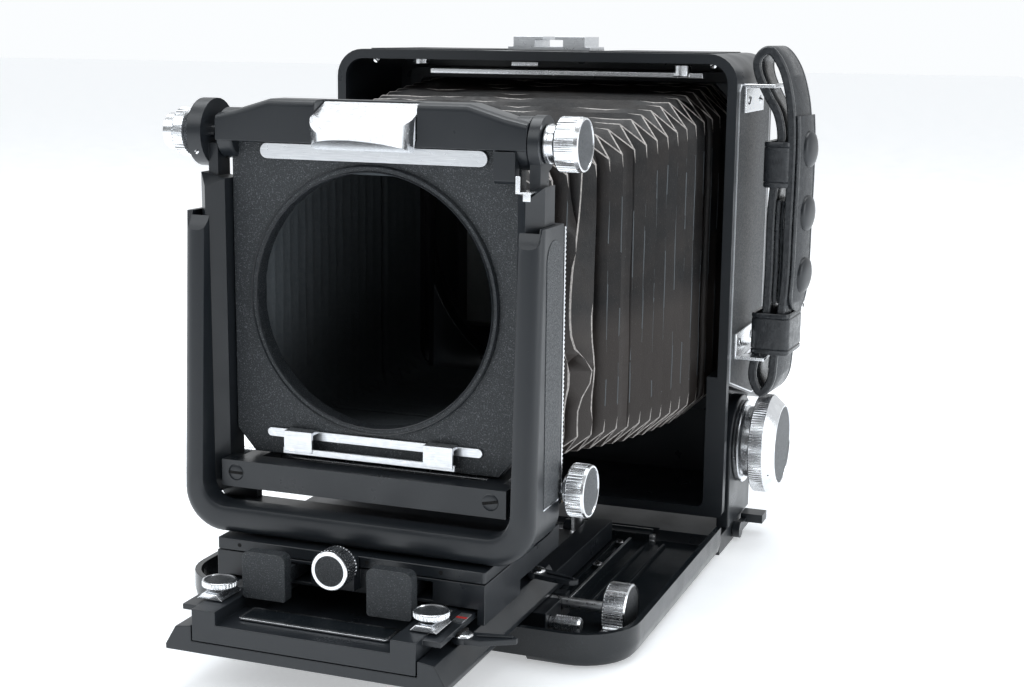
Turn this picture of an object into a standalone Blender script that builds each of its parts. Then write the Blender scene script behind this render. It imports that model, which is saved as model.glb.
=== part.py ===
"""A metal folding view camera for 4 x 5 inch film, with its bed down and its standard run out.

Lengths below are millimetres and become metres in the meshes. The lens side is -Y, the back is +Y,
+X is the side with the hand strap, and +Z is up. The shapes are drawn in the camera's own frame,
whose Y = 0 plane is the front rim of the rear body and whose Z = 0 plane is the surface it stands on.
An empty at the top of the tree moves that frame so that the world's origin is under the middle of
the camera. Every rigid group hangs from an empty on its own joint's axis.
"""

import math

import bmesh
import bpy
from mathutils import Matrix, Vector

MM = 0.001
GAP = 0.3  # between neighbours that touch on the real camera
ROUND = 32  # sides of a large turned piece
SMALL_ROUND = 20  # sides of a small turned piece

# Where the middle of the whole camera lies in its own frame
MIDDLE = (3.19, -55.7)

# Rear body and its tilt axis
HALF_WIDTH = 90.0
BODY_FLOOR = 17.0
BODY_TOP = 211.3
BODY_REAR = 68.0
BODY_CORNER = 12.0
BODY_WALL = 2.6
RIM_WIDTH = 4.0
RIM_DEPTH = 3.0
LOWER_HALF_WIDTH = 84.1  # the sides step in above the tilt brackets
STEP_TOP = 78.0
TILT_Y = 33.0
TILT_Z = 43.5
LENS_Z = 127.2
BUTTON_AT = (-60.0, 24.0)
BUTTON_R = 4.0

# Base
BASE_TOP = 8.2
BASE_FRONT = 4.2
BASE_STEP_Y = 50.0
BASE_REAR = 62.0
BASE_REAR_TOP = 3.8
HINGE_Z = 5.0
HINGE_R = 3.6
HINGE_PIN_R = 1.7
HINGE_BORE_R = 2.0
TRIPOD_R = 12.0
TRIPOD_BORE_R = 4.8

# Bed
BED_FRONT = -142.9
BED_REAR = -0.5
BED_CORNER = 22.0
BED_WALL = 2.4
BED_TOP = 13.2
BED_FLOOR = 4.2
FOCUS_Y = -107.0
FOCUS_Z = 11.0
FOCUS_KNOB_R = 10.0
FOCUS_KNOB_X = (73.3, 83.5)

# Track, which runs on the bed
TRACK_FRONT = -208.0
TRACK_REAR = -99.0
TRACK_BOTTOM = 13.6
TRACK_SEAM = 17.6
RAIL_TOP = 29.0
SHELF_TOP = 28.4
CROSS_TOP = 24.4
CROSS_REAR = -188.0
INDEX_X = 39.5
INDEX_Y = -192.0
STOP_X = 48.3
STOP_YS = {"front": -187.0, "rear": -117.0}

# Standard carriage and the shift plate on it
CARRIAGE_HALF = 51.0
CARRIAGE_FRONT = -174.0
CARRIAGE_REAR = -99.0
CARRIAGE_BOTTOM = 29.6
CARRIAGE_TOP = 38.4
SHIFT_TOP = 42.8
SHIFT_REAR = -128.0
SKIRT_REAR = -140.0
KNOB_BOSS_FRONT = -178.6
BOSS_TOP = 43.1  # under the swinging U frame

# U frame, riser and lens panel
FRAME_HALF = 66.5
FRAME_INNER = 57.7
FRAME_BOTTOM = 43.5
FRAME_INNER_BOTTOM = 54.0
FRAME_TOP = 157.0
FRAME_FRONT_LOW = -171.5
FRAME_FRONT_HIGH = -166.0
FRAME_REAR = -143.5
SWING_Y = -157.0
POST_INNER = 54.8
POST_OUTER = 64.2
PINION_Y = -139.2
PINION_Z = 64.5
PANEL_HALF = 54.2
PANEL_BOTTOM = 69.6
PANEL_TOP = 181.0
PANEL_FRONT = -152.4
PANEL_REAR = -147.4
HOLE_R = 44.6
HOLE_RIM_R = 47.2
AXIS_Y = -149.0
AXIS_Z = 183.5
LATCH_HALF = 18.7
LATCH_FRONT = -174.5
LATCH_BACK = -150.2
LATCH_FLOOR = 184.0

# Bellows
BELLOWS_FRONT = -142.9
BELLOWS_REAR = 56.0
BELLOWS_SKIN = 1.6

# Revolving back, square on the lens axis
BACK_HALF = 81.0
BACK_FRONT = 72.6
GLASS_FRONT = 84.3
HOOD_Y = 92.3
HOOD_AXIS = (94.6, 177.6)

# Hand strap
STRAP_Y = (17.0, 39.0)
STRAP_THICK = 3.4
STRAP_TWIST = 0.155  # mm outwards for each mm backwards, on the outer run
STRAP_LINE = (  # the middle line seen from the front: up the outer run, over the top and back down
    (111.0, 140), (111.2, 162), (110.9, 180), (109.3, 194), (105.6, 206), (99.8, 213), (94.9, 209.5),
    (95.2, 203), (99.2, 194.5), (103.6, 186.5), (105.2, 176), (103.4, 162), (102.2, 146), (102.3, 120),
    (101.6, 100), (98.6, 86), (97.6, 76), (101.6, 69.2), (106.0, 75), (107.2, 86), (109.4, 102), (110.8, 120),
)

COLOURS = {
    "black_paint": ((0.020, 0.021, 0.023), 0.42, 0.0),
    "black_crackle": ((0.028, 0.029, 0.031), 0.70, 0.0),
    "leather": ((0.016, 0.016, 0.017), 0.55, 0.0),
    "bellows_cloth": ((0.045, 0.032, 0.027), 0.60, 0.0),
    "chrome": ((0.80, 0.80, 0.81), 0.16, 1.0),
    "satin_steel": ((0.62, 0.62, 0.63), 0.34, 1.0),
    "brass": ((0.60, 0.45, 0.22), 0.35, 1.0),
    "glass": ((0.80, 0.84, 0.84), 0.45, 0.0),
}

# Joint tree: group, parent group and a point on its axis
GROUPS = (
    ("base", None, (0, 0, 0)),
    ("bed", "base", (0, 0, HINGE_Z)),
    ("focus_shaft", "bed", (0, FOCUS_Y, FOCUS_Z)),
    ("focus_lock", "bed", (60, -122, 8.6)),
    ("track", "bed", (0, -150, TRACK_SEAM)),
    ("index_left", "track", (-INDEX_X, INDEX_Y, RAIL_TOP)),
    ("index_right", "track", (INDEX_X, INDEX_Y, RAIL_TOP)),
    ("stop_front", "track", (STOP_X, STOP_YS["front"], 24)),
    ("stop_rear", "track", (STOP_X, STOP_YS["rear"], 24)),
    ("carriage", "track", (0, -136, CARRIAGE_BOTTOM)),
    ("grip_left", "carriage", (-23.3, -180, 36)),
    ("grip_right", "carriage", (23.3, -180, 36)),
    ("shift_knob", "carriage", (0, -183, 41)),
    ("shift", "carriage", (0, -150, SHIFT_TOP)),
    ("swing", "shift", (0, SWING_Y, FRAME_BOTTOM)),
    ("riser", "swing", (0, SWING_Y, PINION_Z)),
    ("rise_knob", "riser", (0, PINION_Y, PINION_Z)),
    ("lens_panel", "riser", (0, AXIS_Y, AXIS_Z)),
    ("board_latch", "lens_panel", (0, -160, 188)),
    ("front_knob_left", "riser", (-70, AXIS_Y, AXIS_Z)),
    ("front_knob_right", "riser", (70, AXIS_Y, AXIS_Z)),
    ("rear_body", "base", (0, TILT_Y, TILT_Z)),
    ("latch_bar", "rear_body", (12, 8, 202)),
    ("release_button", "rear_body", (BUTTON_AT[0], BUTTON_AT[1], BODY_TOP)),
    ("revolving_back", "rear_body", (0, 78, LENS_Z)),
    ("ground_glass", "revolving_back", (0, 88, LENS_Z)),
    ("hood", "ground_glass", (0, HOOD_AXIS[0], HOOD_AXIS[1])),
    ("tilt_knob_left", "base", (-100, TILT_Y, TILT_Z)),
    ("tilt_knob_right", "base", (100, TILT_Y, TILT_Z)),
    ("base_lever", "base", (91, 27, 4.6)),
)

AXES = {"X": (1, 2, 0), "Y": (0, 2, 1), "Z": (0, 1, 2)}  # where (u, v, along) go


def clear_scene():
    for obj in list(bpy.data.objects):
        bpy.data.objects.remove(obj, do_unlink=True)


def make_materials():
    made = {}
    for name, (colour, roughness, metallic) in COLOURS.items():
        material = bpy.data.materials.new(name)
        material.use_nodes = True
        shader = material.node_tree.nodes["Principled BSDF"]
        shader.inputs["Base Color"].default_value = (*colour, 1)
        shader.inputs["Roughness"].default_value = roughness
        shader.inputs["Metallic"].default_value = metallic
        made[name] = material
    return made


def make_groups():
    """One empty per rigid group, on its joint's axis."""
    made = {}
    root = bpy.data.objects.new("camera_frame", None)
    root.location = Vector((-MIDDLE[0], -MIDDLE[1], 0)) * MM
    bpy.context.scene.collection.objects.link(root)
    points = {None: Vector((0, 0, 0))}
    made[None] = root
    for name, parent, point in GROUPS:
        empty = bpy.data.objects.new(f"group_{name}", None)
        bpy.context.scene.collection.objects.link(empty)
        empty.parent = made[parent]
        points[name] = Vector(point)
        empty.location = (points[name] - points[parent]) * MM
        made[name] = empty
    return made, points


clear_scene()
MATERIALS = make_materials()
EMPTIES, POINTS = make_groups()


def place(u, v, along, axis):
    """The point whose coordinates across and along this axis are u, v and along."""
    point = [0.0, 0.0, 0.0]
    for value, slot in zip((u, v, along), AXES[axis]):
        point[slot] = value
    return Vector(point)


def link(mesh_maker, name, group, material, smooth=True):
    """Puts a bmesh, drawn in millimetres in the camera's frame, into the scene under its group's empty."""
    bmesh.ops.recalc_face_normals(mesh_maker, faces=mesh_maker.faces)
    if mesh_maker.calc_volume(signed=True) < 0:
        bmesh.ops.reverse_faces(mesh_maker, faces=mesh_maker.faces)
    bmesh.ops.transform(mesh_maker, matrix=Matrix.Translation(-POINTS[group]), verts=mesh_maker.verts)
    bmesh.ops.transform(mesh_maker, matrix=Matrix.Scale(MM, 4), verts=mesh_maker.verts)
    mesh = bpy.data.meshes.new(name)
    mesh_maker.to_mesh(mesh)
    mesh_maker.free()
    obj = bpy.data.objects.new(name, mesh)
    obj.parent = EMPTIES[group]
    bpy.context.scene.collection.objects.link(obj)
    mesh.materials.append(MATERIALS[material])
    if smooth:
        mesh.shade_smooth()
        mesh.set_sharp_from_angle(angle=math.radians(30))
    return obj


def bridge(bm, lower, upper):
    """Walls between two loops of the same number of vertices."""
    count = len(lower)
    for i in range(count):
        j = (i + 1) % count
        bm.faces.new((lower[i], lower[j], upper[j], upper[i]))


def prism(name, group, material, axis, outline, low, high):
    """An outline extruded along an axis. The ends can be one number or one number for each corner."""
    bm = bmesh.new()
    count = len(outline)
    lows = [low] * count if isinstance(low, (int, float)) else low
    highs = [high] * count if isinstance(high, (int, float)) else high
    bottom = [bm.verts.new(place(u, v, end, axis)) for (u, v), end in zip(outline, lows)]
    top = [bm.verts.new(place(u, v, end, axis)) for (u, v), end in zip(outline, highs)]
    bridge(bm, bottom, top)
    bm.faces.new(bottom)
    bm.faces.new(top)
    return link(bm, name, group, material)


def block(name, group, material, x, y, z):
    """A box between two numbers on each axis."""
    outline = [(x[0], y[0]), (x[1], y[0]), (x[1], y[1]), (x[0], y[1])]
    return prism(name, group, material, "Z", outline, z[0], z[1])


def turned(name, group, material, axis, centre, profile, sides=ROUND):
    """A solid of revolution. The profile lists (radius, along) from one end to the other."""
    bm = bmesh.new()
    rings = []
    for radius, along in profile:
        if radius == 0:
            rings.append([bm.verts.new(place(centre[0], centre[1], along, axis))])
            continue
        ring = []
        for k in range(sides):
            angle = math.tau * k / sides
            u = centre[0] + radius * math.cos(angle)
            v = centre[1] + radius * math.sin(angle)
            ring.append(bm.verts.new(place(u, v, along, axis)))
        rings.append(ring)
    for first, second in zip(rings, rings[1:]):
        if len(first) == 1:
            for k in range(sides):
                bm.faces.new((first[0], second[k], second[(k + 1) % sides]))
        elif len(second) == 1:
            for k in range(sides):
                bm.faces.new((second[0], first[(k + 1) % sides], first[k]))
        else:
            bridge(bm, first, second)
    for ring in (rings[0], rings[-1]):
        if len(ring) > 1:
            bm.faces.new(ring)
    return link(bm, name, group, material)


def rod(name, group, material, axis, centre, radius, low, high, sides=SMALL_ROUND):
    return turned(name, group, material, axis, centre, [(radius, low), (radius, high)], sides)


def loft_tube(name, group, material, outer, inner):
    """A tube through matching lists of outer and inner loops, open at both ends."""
    bm = bmesh.new()
    skins = []
    for loops in (outer, inner):
        skins.append([[bm.verts.new(point) for point in loop] for loop in loops])
    for skin in skins:
        for first, second in zip(skin, skin[1:]):
            bridge(bm, first, second)
    for end in (0, -1):
        bridge(bm, skins[0][end], skins[1][end])
    return link(bm, name, group, material)


def boolean(target, tool, operation):
    """Applies a tool solid to a target through a modifier, and takes the tool out of the render."""
    modifier = target.modifiers.new(f"{operation.lower()}_{tool.name}"[:60], "BOOLEAN")
    modifier.operation = operation
    modifier.object = tool
    modifier.solver = "EXACT"
    tool.hide_render = True
    tool.display_type = "WIRE"


def cut(target, *tools):
    for tool in tools:
        boolean(target, tool, "DIFFERENCE")


def join(target, *tools):
    for tool in tools:
        boolean(target, tool, "UNION")


def arc(centre, radius, start, end, steps):
    """Points on an arc, angles in degrees."""
    points = []
    for k in range(steps + 1):
        angle = math.radians(start + (end - start) * k / steps)
        points.append((centre[0] + radius * math.cos(angle), centre[1] + radius * math.sin(angle)))
    return points


def rounded(u, v, radii, steps=6):
    """A rectangle with its own radius at each corner: low-low, high-low, high-high, low-high."""
    corners = (
        ((u[0], v[0]), (1, 1), 180),
        ((u[1], v[0]), (-1, 1), 270),
        ((u[1], v[1]), (-1, -1), 0),
        ((u[0], v[1]), (1, -1), 90),
    )
    points = []
    for (corner, inward, start), radius in zip(corners, radii):
        if radius == 0:
            points.append(corner)
            continue
        centre = (corner[0] + inward[0] * radius, corner[1] + inward[1] * radius)
        points += arc(centre, radius, start, start + 90, steps)
    return points


def mirrored(outline):
    """The same outline on the other side of the camera's middle plane."""
    return [(-u, v) for u, v in reversed(outline)]


def sided(side, pair):
    """A pair of X limits on this side, low first."""
    return tuple(sorted((side * pair[0], side * pair[1])))


SIDES = (("left", -1), ("right", 1))


# ---------------------------------------------------------------- base


def hinge_knuckle(name, group, x, web_y):
    """A hinge barrel on the bed's axis with the web that carries it."""
    barrel = rod(name, group, "black_paint", "X", (0, HINGE_Z), HINGE_R, x[0], x[1])
    web = block(f"{name}_web", group, "black_paint", x, web_y, (1.6, 8.0))
    join(barrel, web)
    return barrel


def make_base():
    side_profile = [
        (BASE_FRONT, 0),
        (BASE_REAR, 0),
        (BASE_REAR, BASE_REAR_TOP),
        (BASE_STEP_Y, BASE_REAR_TOP),
        (BASE_STEP_Y, BASE_TOP),
        (BASE_FRONT, BASE_TOP),
    ]
    plate = prism("base_plate", "base", "black_paint", "X", side_profile, -89, 89)
    for name, side in SIDES:
        corner = block(
            f"base_corner_{name}", "base", "black_paint", sided(side, (62, 89)), (1.8, 6), (0, BASE_TOP)
        )
        join(plate, corner)
        join(plate, hinge_knuckle(f"base_knuckle_{name}", "base", sided(side, (20, 40)), (0, 6)))
    hole = rod("tripod_hole", "base", "black_paint", "Z", (0, 32), TRIPOD_R + GAP, -1, 10, ROUND)
    bore = rod("base_hinge_bore", "base", "black_paint", "X", (0, HINGE_Z), HINGE_BORE_R, -45, 45)
    cut(plate, hole, bore)

    socket = rod("tripod_socket", "base", "brass", "Z", (0, 32), TRIPOD_R, 0, 8, ROUND)
    cut(socket, rod("tripod_thread", "base", "brass", "Z", (0, 32), TRIPOD_BORE_R, -1, 9))
    rod("bed_hinge_pin", "base", "satin_steel", "X", (0, HINGE_Z), HINGE_PIN_R, -61, 61)


def make_tilt_brackets():
    """Upright cheeks that carry the rear body, with the big knobs that lock its tilt."""
    head_r = 20.5
    cheek = arc((TILT_Y, TILT_Z), head_r, 0, 180, 14)
    cheek += [(13.6, BASE_TOP + GAP), (TILT_Y + head_r, BASE_TOP + GAP)]
    for name, side in SIDES:
        x = sided(side, (LOWER_HALF_WIDTH + GAP, HALF_WIDTH - 0.2))
        bracket = prism(f"tilt_bracket_{name}", "base", "black_paint", "X", cheek, *x)
        reach = sided(side, (80, 95))
        bore = rod(f"tilt_bore_{name}", "base", "black_paint", "X", (TILT_Y, TILT_Z), 3.9, *reach)
        cut(bracket, bore)
        profile = [
            (3.5, 81.7),
            (3.5, 90.1),
            (18, 90.1),
            (18, 92.4),
            (15.5, 93.2),
            (15.5, 96.6),
            (20.3, 97.2),
            (21.5, 98.2),
            (21.5, 106),
            (19, 108.2),
        ]
        profile = [(radius, side * along) for radius, along in profile]
        turned(f"tilt_knob_{name}", f"tilt_knob_{name}", "chrome", "X", (TILT_Y, TILT_Z), profile)


def make_base_lever():
    lever = rod("base_lever", "base_lever", "black_paint", "X", (27, 4.6), 3.6, 89.3, 92.6)
    arm = block("base_lever_arm", "base_lever", "black_paint", (90.3, 92.6), (27, 44), (3.4, 7.4))
    tip = block("base_lever_tip", "base_lever", "black_paint", (90.3, 100), (36, 45), (5.6, 9.4))
    join(lever, arm, tip)


# ---------------------------------------------------------------- bed


def tray_outline(inset):
    """The tray's plan, pulled in by this much on every side."""
    radius = BED_CORNER - inset
    corner_x = HALF_WIDTH - BED_CORNER
    corner_y = BED_FRONT + BED_CORNER
    outline = arc((-corner_x, corner_y), radius, 180, 270, 8)
    outline += arc((corner_x, corner_y), radius, 270, 360, 8)
    outline += [(HALF_WIDTH - inset, BED_REAR - inset), (-HALF_WIDTH + inset, BED_REAR - inset)]
    return outline


def make_bed():
    """A shallow tray with a rolled lower edge, open at its hinge end."""
    levels = [(4.5, 0), (2.2, 0.9), (0.7, 2.8), (0, 6.5), (0, BED_TOP)]
    levels += [(BED_WALL, BED_TOP), (BED_WALL, BED_FLOOR)]
    bm = bmesh.new()
    rings = []
    for inset, z in levels:
        rings.append([bm.verts.new((x, y, z)) for x, y in tray_outline(inset)])
    for first, second in zip(rings, rings[1:]):
        bridge(bm, first, second)
    bm.faces.new(rings[0])
    bm.faces.new(rings[-1])
    tray = link(bm, "bed_tray", "bed", "black_paint")

    inner = HALF_WIDTH - BED_WALL
    rear = block("tray_open_rear", "bed", "black_paint", (-inner, inner), (-6, 2), (BED_FLOOR, 15))
    hinge_room = block("tray_hinge_room", "bed", "black_paint", (-62, 62), (-BASE_FRONT, 3), (-1, 15))
    recess = block("tray_under_recess", "bed", "black_paint", (-54, 54), (-150, -20), (-1, 2.4))
    cut(tray, rear, hinge_room, recess)
    for name, side in SIDES:
        x = sided(side, (72.4, 84.6))
        well = block(f"knob_well_{name}", "bed", "black_paint", x, (FOCUS_Y - 11.5, FOCUS_Y + 11.5), (-2, 6))
        cut(tray, well)
        join(tray, hinge_knuckle(f"bed_knuckle_{name}", "bed", sided(side, (40.4, 60)), (-6, 0)))
    cut(tray, rod("bed_hinge_bore", "bed", "black_paint", "X", (0, HINGE_Z), HINGE_BORE_R, -64, 64))


def make_rail_base():
    """The fixed guide that the track runs on, with bearings for the focus shaft."""
    top = TRACK_BOTTOM - GAP - 0.1
    floor = BED_FLOOR + GAP
    half = [(44, floor), (44, top), (34, top), (34, floor + 2)]
    guide = prism("bed_rail_base", "bed", "black_paint", "Y", [*half, *mirrored(half)], -136, -8)
    for name, side in SIDES:
        x = sided(side, (43, 56))
        join(guide, block(f"bearing_{name}", "bed", "black_paint", x, (-127, -100), (floor, top)))
    y = (FOCUS_Y - 2.6, FOCUS_Y + 2.6)
    channel = block("shaft_channel", "bed", "black_paint", (-60, 60), y, (8.4, 15))
    cut(guide, channel)
    cut(guide, rod("lock_bore", "bed", "black_paint", "X", (-122, 8.6), 2.4, 45, 60))

    profile = [(3.2, floor + 2 + GAP), (3.2, 8), (2.8, 8.4), (2.8, 15.6), (2, 16.4)]
    turned("bed_post", "bed", "satin_steel", "Z", (30, -13), profile, SMALL_ROUND)


def make_focus_drive():
    rod("focus_shaft", "focus_shaft", "satin_steel", "X", (FOCUS_Y, FOCUS_Z), 2.1, -73, 73)
    near, far = FOCUS_KNOB_X
    for name, side in SIDES:
        profile = [(6, near), (FOCUS_KNOB_R, near + 0.8), (FOCUS_KNOB_R, far - 1), (FOCUS_KNOB_R - 1.2, far)]
        profile = [(radius, side * along) for radius, along in profile]
        turned(f"focus_knob_{name}", "focus_shaft", "chrome", "X", (FOCUS_Y, FOCUS_Z), profile)
    profile = [(2.1, 50), (2.1, 58), (3, 58.4), (3, 67.4), (2.2, 68)]
    turned("focus_lock_screw", "focus_lock", "satin_steel", "X", (-122, 8.6), profile, SMALL_ROUND)


# ---------------------------------------------------------------- track


def make_track():
    """The sliding track: a dovetail plate below and a channel with raised rails above."""
    half = [(51.4, TRACK_BOTTOM), (51.4, 15.4), (47.4, 22.2), (41.4, 23), (41.4, TRACK_SEAM)]
    prism("track_slide", "track", "black_paint", "Y", [*half, *mirrored(half)], TRACK_FRONT, TRACK_REAR)

    seam = TRACK_SEAM + GAP
    half = [(41, seam), (41, 26.4), (47.5, 26.4), (47.5, SHELF_TOP), (41, SHELF_TOP), (41, RAIL_TOP)]
    half += [(32, RAIL_TOP), (32, seam + 2)]
    outline = [*half, *mirrored(half)]
    channel = prism("track_channel", "track", "black_paint", "Y", outline, TRACK_FRONT, TRACK_REAR)
    y = (TRACK_FRONT, CROSS_REAR)
    join(channel, block("cross_member", "track", "black_paint", (-33, 33), y, (seam, CROSS_TOP)))
    for name, side in SIDES:
        x = sided(side, (41, 50))
        cut(channel, block(f"shelf_end_{name}", "track", "black_paint", x, (-210, -203), (24, 30)))

    plate = rounded((-27.7, 27.7), (-200.5, -189.5), (1.2,) * 4, 2)
    prism("nameplate", "track", "satin_steel", "Z", plate, CROSS_TOP + GAP, CROSS_TOP + 1.2)


def make_index_blocks():
    """Wedge blocks on the rails that hold the focus scales, with knurled clamp screws."""
    low = RAIL_TOP + GAP
    for name, side in SIDES:
        wedge = [(34.6, low), (44.4, low), (42.2, 31.4), (36.8, 31.4)]
        wedge = wedge if side > 0 else mirrored(wedge)
        prism(f"index_block_{name}", "track", "chrome", "Y", wedge, -199, -186)
        profile = [(4.5, 31.7), (6, 32.1), (6, 34), (5.4, 34.6)]
        centre = (side * INDEX_X, INDEX_Y)
        turned(f"index_screw_{name}", f"index_{name}", "chrome", "Z", centre, profile, 24)


def make_stops():
    """Flip-down stops that mark where the carriage focuses on infinity."""
    for name, y in STOP_YS.items():
        group = f"stop_{name}"
        profile = [(3.9, 23.4), (3.9, 25.4), (2.2, 26.1)]
        lever = turned(f"stop_lever_{name}", group, "chrome", "Z", (STOP_X, y), profile)
        end = y + (4 if name == "front" else -4)
        arm = [(STOP_X, y - 2.6), (60, end - 2.2), (66, end), (60, end + 2.4), (STOP_X, y + 2.6)]
        join(lever, prism(f"{group}_arm", group, "black_paint", "Z", arm, 23.6, 25.2))


# ---------------------------------------------------------------- carriage and shift


def make_carriage():
    front, rear = CARRIAGE_FRONT, CARRIAGE_REAR
    half = CARRIAGE_HALF
    group = "carriage"
    heights = (CARRIAGE_BOTTOM, CARRIAGE_TOP)
    carriage = block("carriage_base", group, "black_paint", (-half, half), (front, rear), heights)
    for name, side in SIDES:
        x = sided(side, (48.2, half))
        join(carriage, block(f"skirt_{name}", group, "black_paint", x, (front, SKIRT_REAR), (24.3, 31)))
        x = sided(side, (14, 32))
        cut(carriage, block(f"grip_pocket_{name}", group, "black_paint", x, (-176, -160), (30.8, 37.2)))
    boss = block("knob_boss", group, "black_paint", (-5, 5), (KNOB_BOSS_FRONT, front - 0.6), (31.5, BOSS_TOP))
    y = (KNOB_BOSS_FRONT, front + 1)
    neck = block("knob_neck", group, "black_paint", (-5, 5), y, (31.5, CARRIAGE_TOP))
    join(carriage, boss, neck)

    plate = rounded((-half, half), (front, SHIFT_REAR), (1, 1, 3, 3), 2)
    prism("shift_plate", "shift", "black_paint", "Z", plate, CARRIAGE_TOP + GAP, SHIFT_TOP)

    profile = [(3.4, -179), (6.9, -179.6), (6.9, -186.4), (6.1, -187.4)]
    turned("shift_knob", "shift_knob", "chrome", "Y", (0, 41), profile, 24)


def make_grips():
    """Finger plates that are squeezed together to free the carriage."""
    for name, side in SIDES:
        low, high = sided(side, (15.2, 31.6))
        outline = rounded((low, high), (28.6, 45.2), (1, 1, 2.5, 2.5), 3)
        grip = prism(f"grip_{name}", f"grip_{name}", "black_crackle", "Y", outline, -190.4, -185.6)
        x = sided(side, (20, 26))
        join(grip, block(f"grip_stem_{name}", f"grip_{name}", "black_paint", x, (-187, -162), (31.2, 36.6)))


# ---------------------------------------------------------------- U frame and riser


def make_u_frame():
    """The U of the front standard: hollow arms that the riser's posts slide in."""
    lean = [
        (FRAME_FRONT_LOW, FRAME_BOTTOM),
        (FRAME_REAR, FRAME_BOTTOM),
        (FRAME_REAR, FRAME_TOP),
        (FRAME_FRONT_HIGH, FRAME_TOP),
        (FRAME_FRONT_LOW, 62),
    ]
    frame = prism("u_frame", "swing", "black_paint", "X", lean, -FRAME_HALF - 5, FRAME_HALF + 5)
    outer = rounded((-FRAME_HALF, FRAME_HALF), (FRAME_BOTTOM, FRAME_TOP + 5), (15, 15, 0, 0), 8)
    boolean(frame, prism("frame_outside", "swing", "black_paint", "Y", outer, -180, -135), "INTERSECT")
    inner = rounded((-FRAME_INNER, FRAME_INNER), (FRAME_INNER_BOTTOM, FRAME_TOP + 9), (8, 8, 0, 0), 6)
    window = prism("frame_window", "swing", "black_paint", "Y", inner, -182, -133)
    guide = block("post_guides", "swing", "black_paint", (-64.6, 64.6), (-163, -147), (50, 170))
    low_lip = block("low_rear_lip", "swing", "black_paint", (-50, 50), (-150, -140), (50, 58))
    cut(frame, window, guide, low_lip)
    for name, side in SIDES:
        x = sided(side, (62.5, FRAME_HALF))
        block(f"rack_{name}", "swing", "chrome", x, (FRAME_REAR + GAP, -141.6), (60, 156))


def make_posts():
    """Sliding posts with pointed fronts; each ends in an eye on the lens panel's tilt axis."""
    ridge = 59.5
    for name, side in SIDES:
        corners = [(POST_INNER, -147.3), (POST_INNER, -157), (ridge, -162.6)]
        corners += [(POST_OUTER, -157), (POST_OUTER, -147.3)]
        tops = [168, 168, 165.6, 170, 170]
        if side < 0:
            corners = mirrored(corners)
            tops = tops[::-1]
        post = prism(f"post_{name}", "riser", "black_paint", "Z", corners, 56, tops)
        if side > 0:
            eye_x, eye_r = (58.2, 62.0), 9.3
        else:
            eye_x, eye_r = (61.8, 67.4), 12.0
        x = sided(side, (58.2, 62.0))
        neck = block(f"neck_{name}", "riser", "black_paint", x, (-155.5, -147.3), (160, 180))
        axis = (AXIS_Y, AXIS_Z)
        x = sided(side, eye_x)
        eye = rod(f"eye_{name}", "riser", "black_paint", "X", axis, eye_r, *x, sides=ROUND)
        x = sided(side, (50, 75))
        bore = rod(f"eye_bore_{name}", "riser", "black_paint", "X", axis, 2.8, *x)
        join(post, neck, eye)
        cut(post, bore)


def make_crossbar():
    bar = block("riser_crossbar", "riser", "black_paint", (-54.4, 54.4), (-164, -155), (58.8, 68.6))
    for name, side in SIDES:
        x = sided(side, (43, 50))
        join(bar, block(f"pinion_lug_{name}", "riser", "black_paint", x, (-157, -136), (60.4, 68.6)))
    cut(bar, rod("pinion_bore", "riser", "black_paint", "X", (PINION_Y, PINION_Z), 2.5, -58, 58))

    profile = [
        (2.1, -62),
        (2.1, 67.2),
        (5.5, 67.4),
        (5.5, 68.6),
        (9.3, 69.2),
        (9.3, 75),
        (8.2, 76.2),
    ]
    turned("rise_knob", "rise_knob", "chrome", "X", (PINION_Y, PINION_Z), profile, 24)


def make_front_tilt_knobs():
    right = [(2.5, 55), (2.5, 62.3), (6.6, 62.4), (6.6, 66), (9.1, 66.6), (9.1, 74), (8, 75.2)]
    left = [(2.5, 55), (2.5, 67.7), (6, 67.8), (6, 70.6), (8.6, 71), (8.6, 75.6), (7.4, 76), (7.4, 81)]
    left = [(radius, -along) for radius, along in left]
    turned("front_tilt_knob_right", "front_knob_right", "chrome", "X", (AXIS_Y, AXIS_Z), right, 24)
    turned("front_tilt_knob_left", "front_knob_left", "chrome", "X", (AXIS_Y, AXIS_Z), left, 24)


# ---------------------------------------------------------------- lens panel


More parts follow.
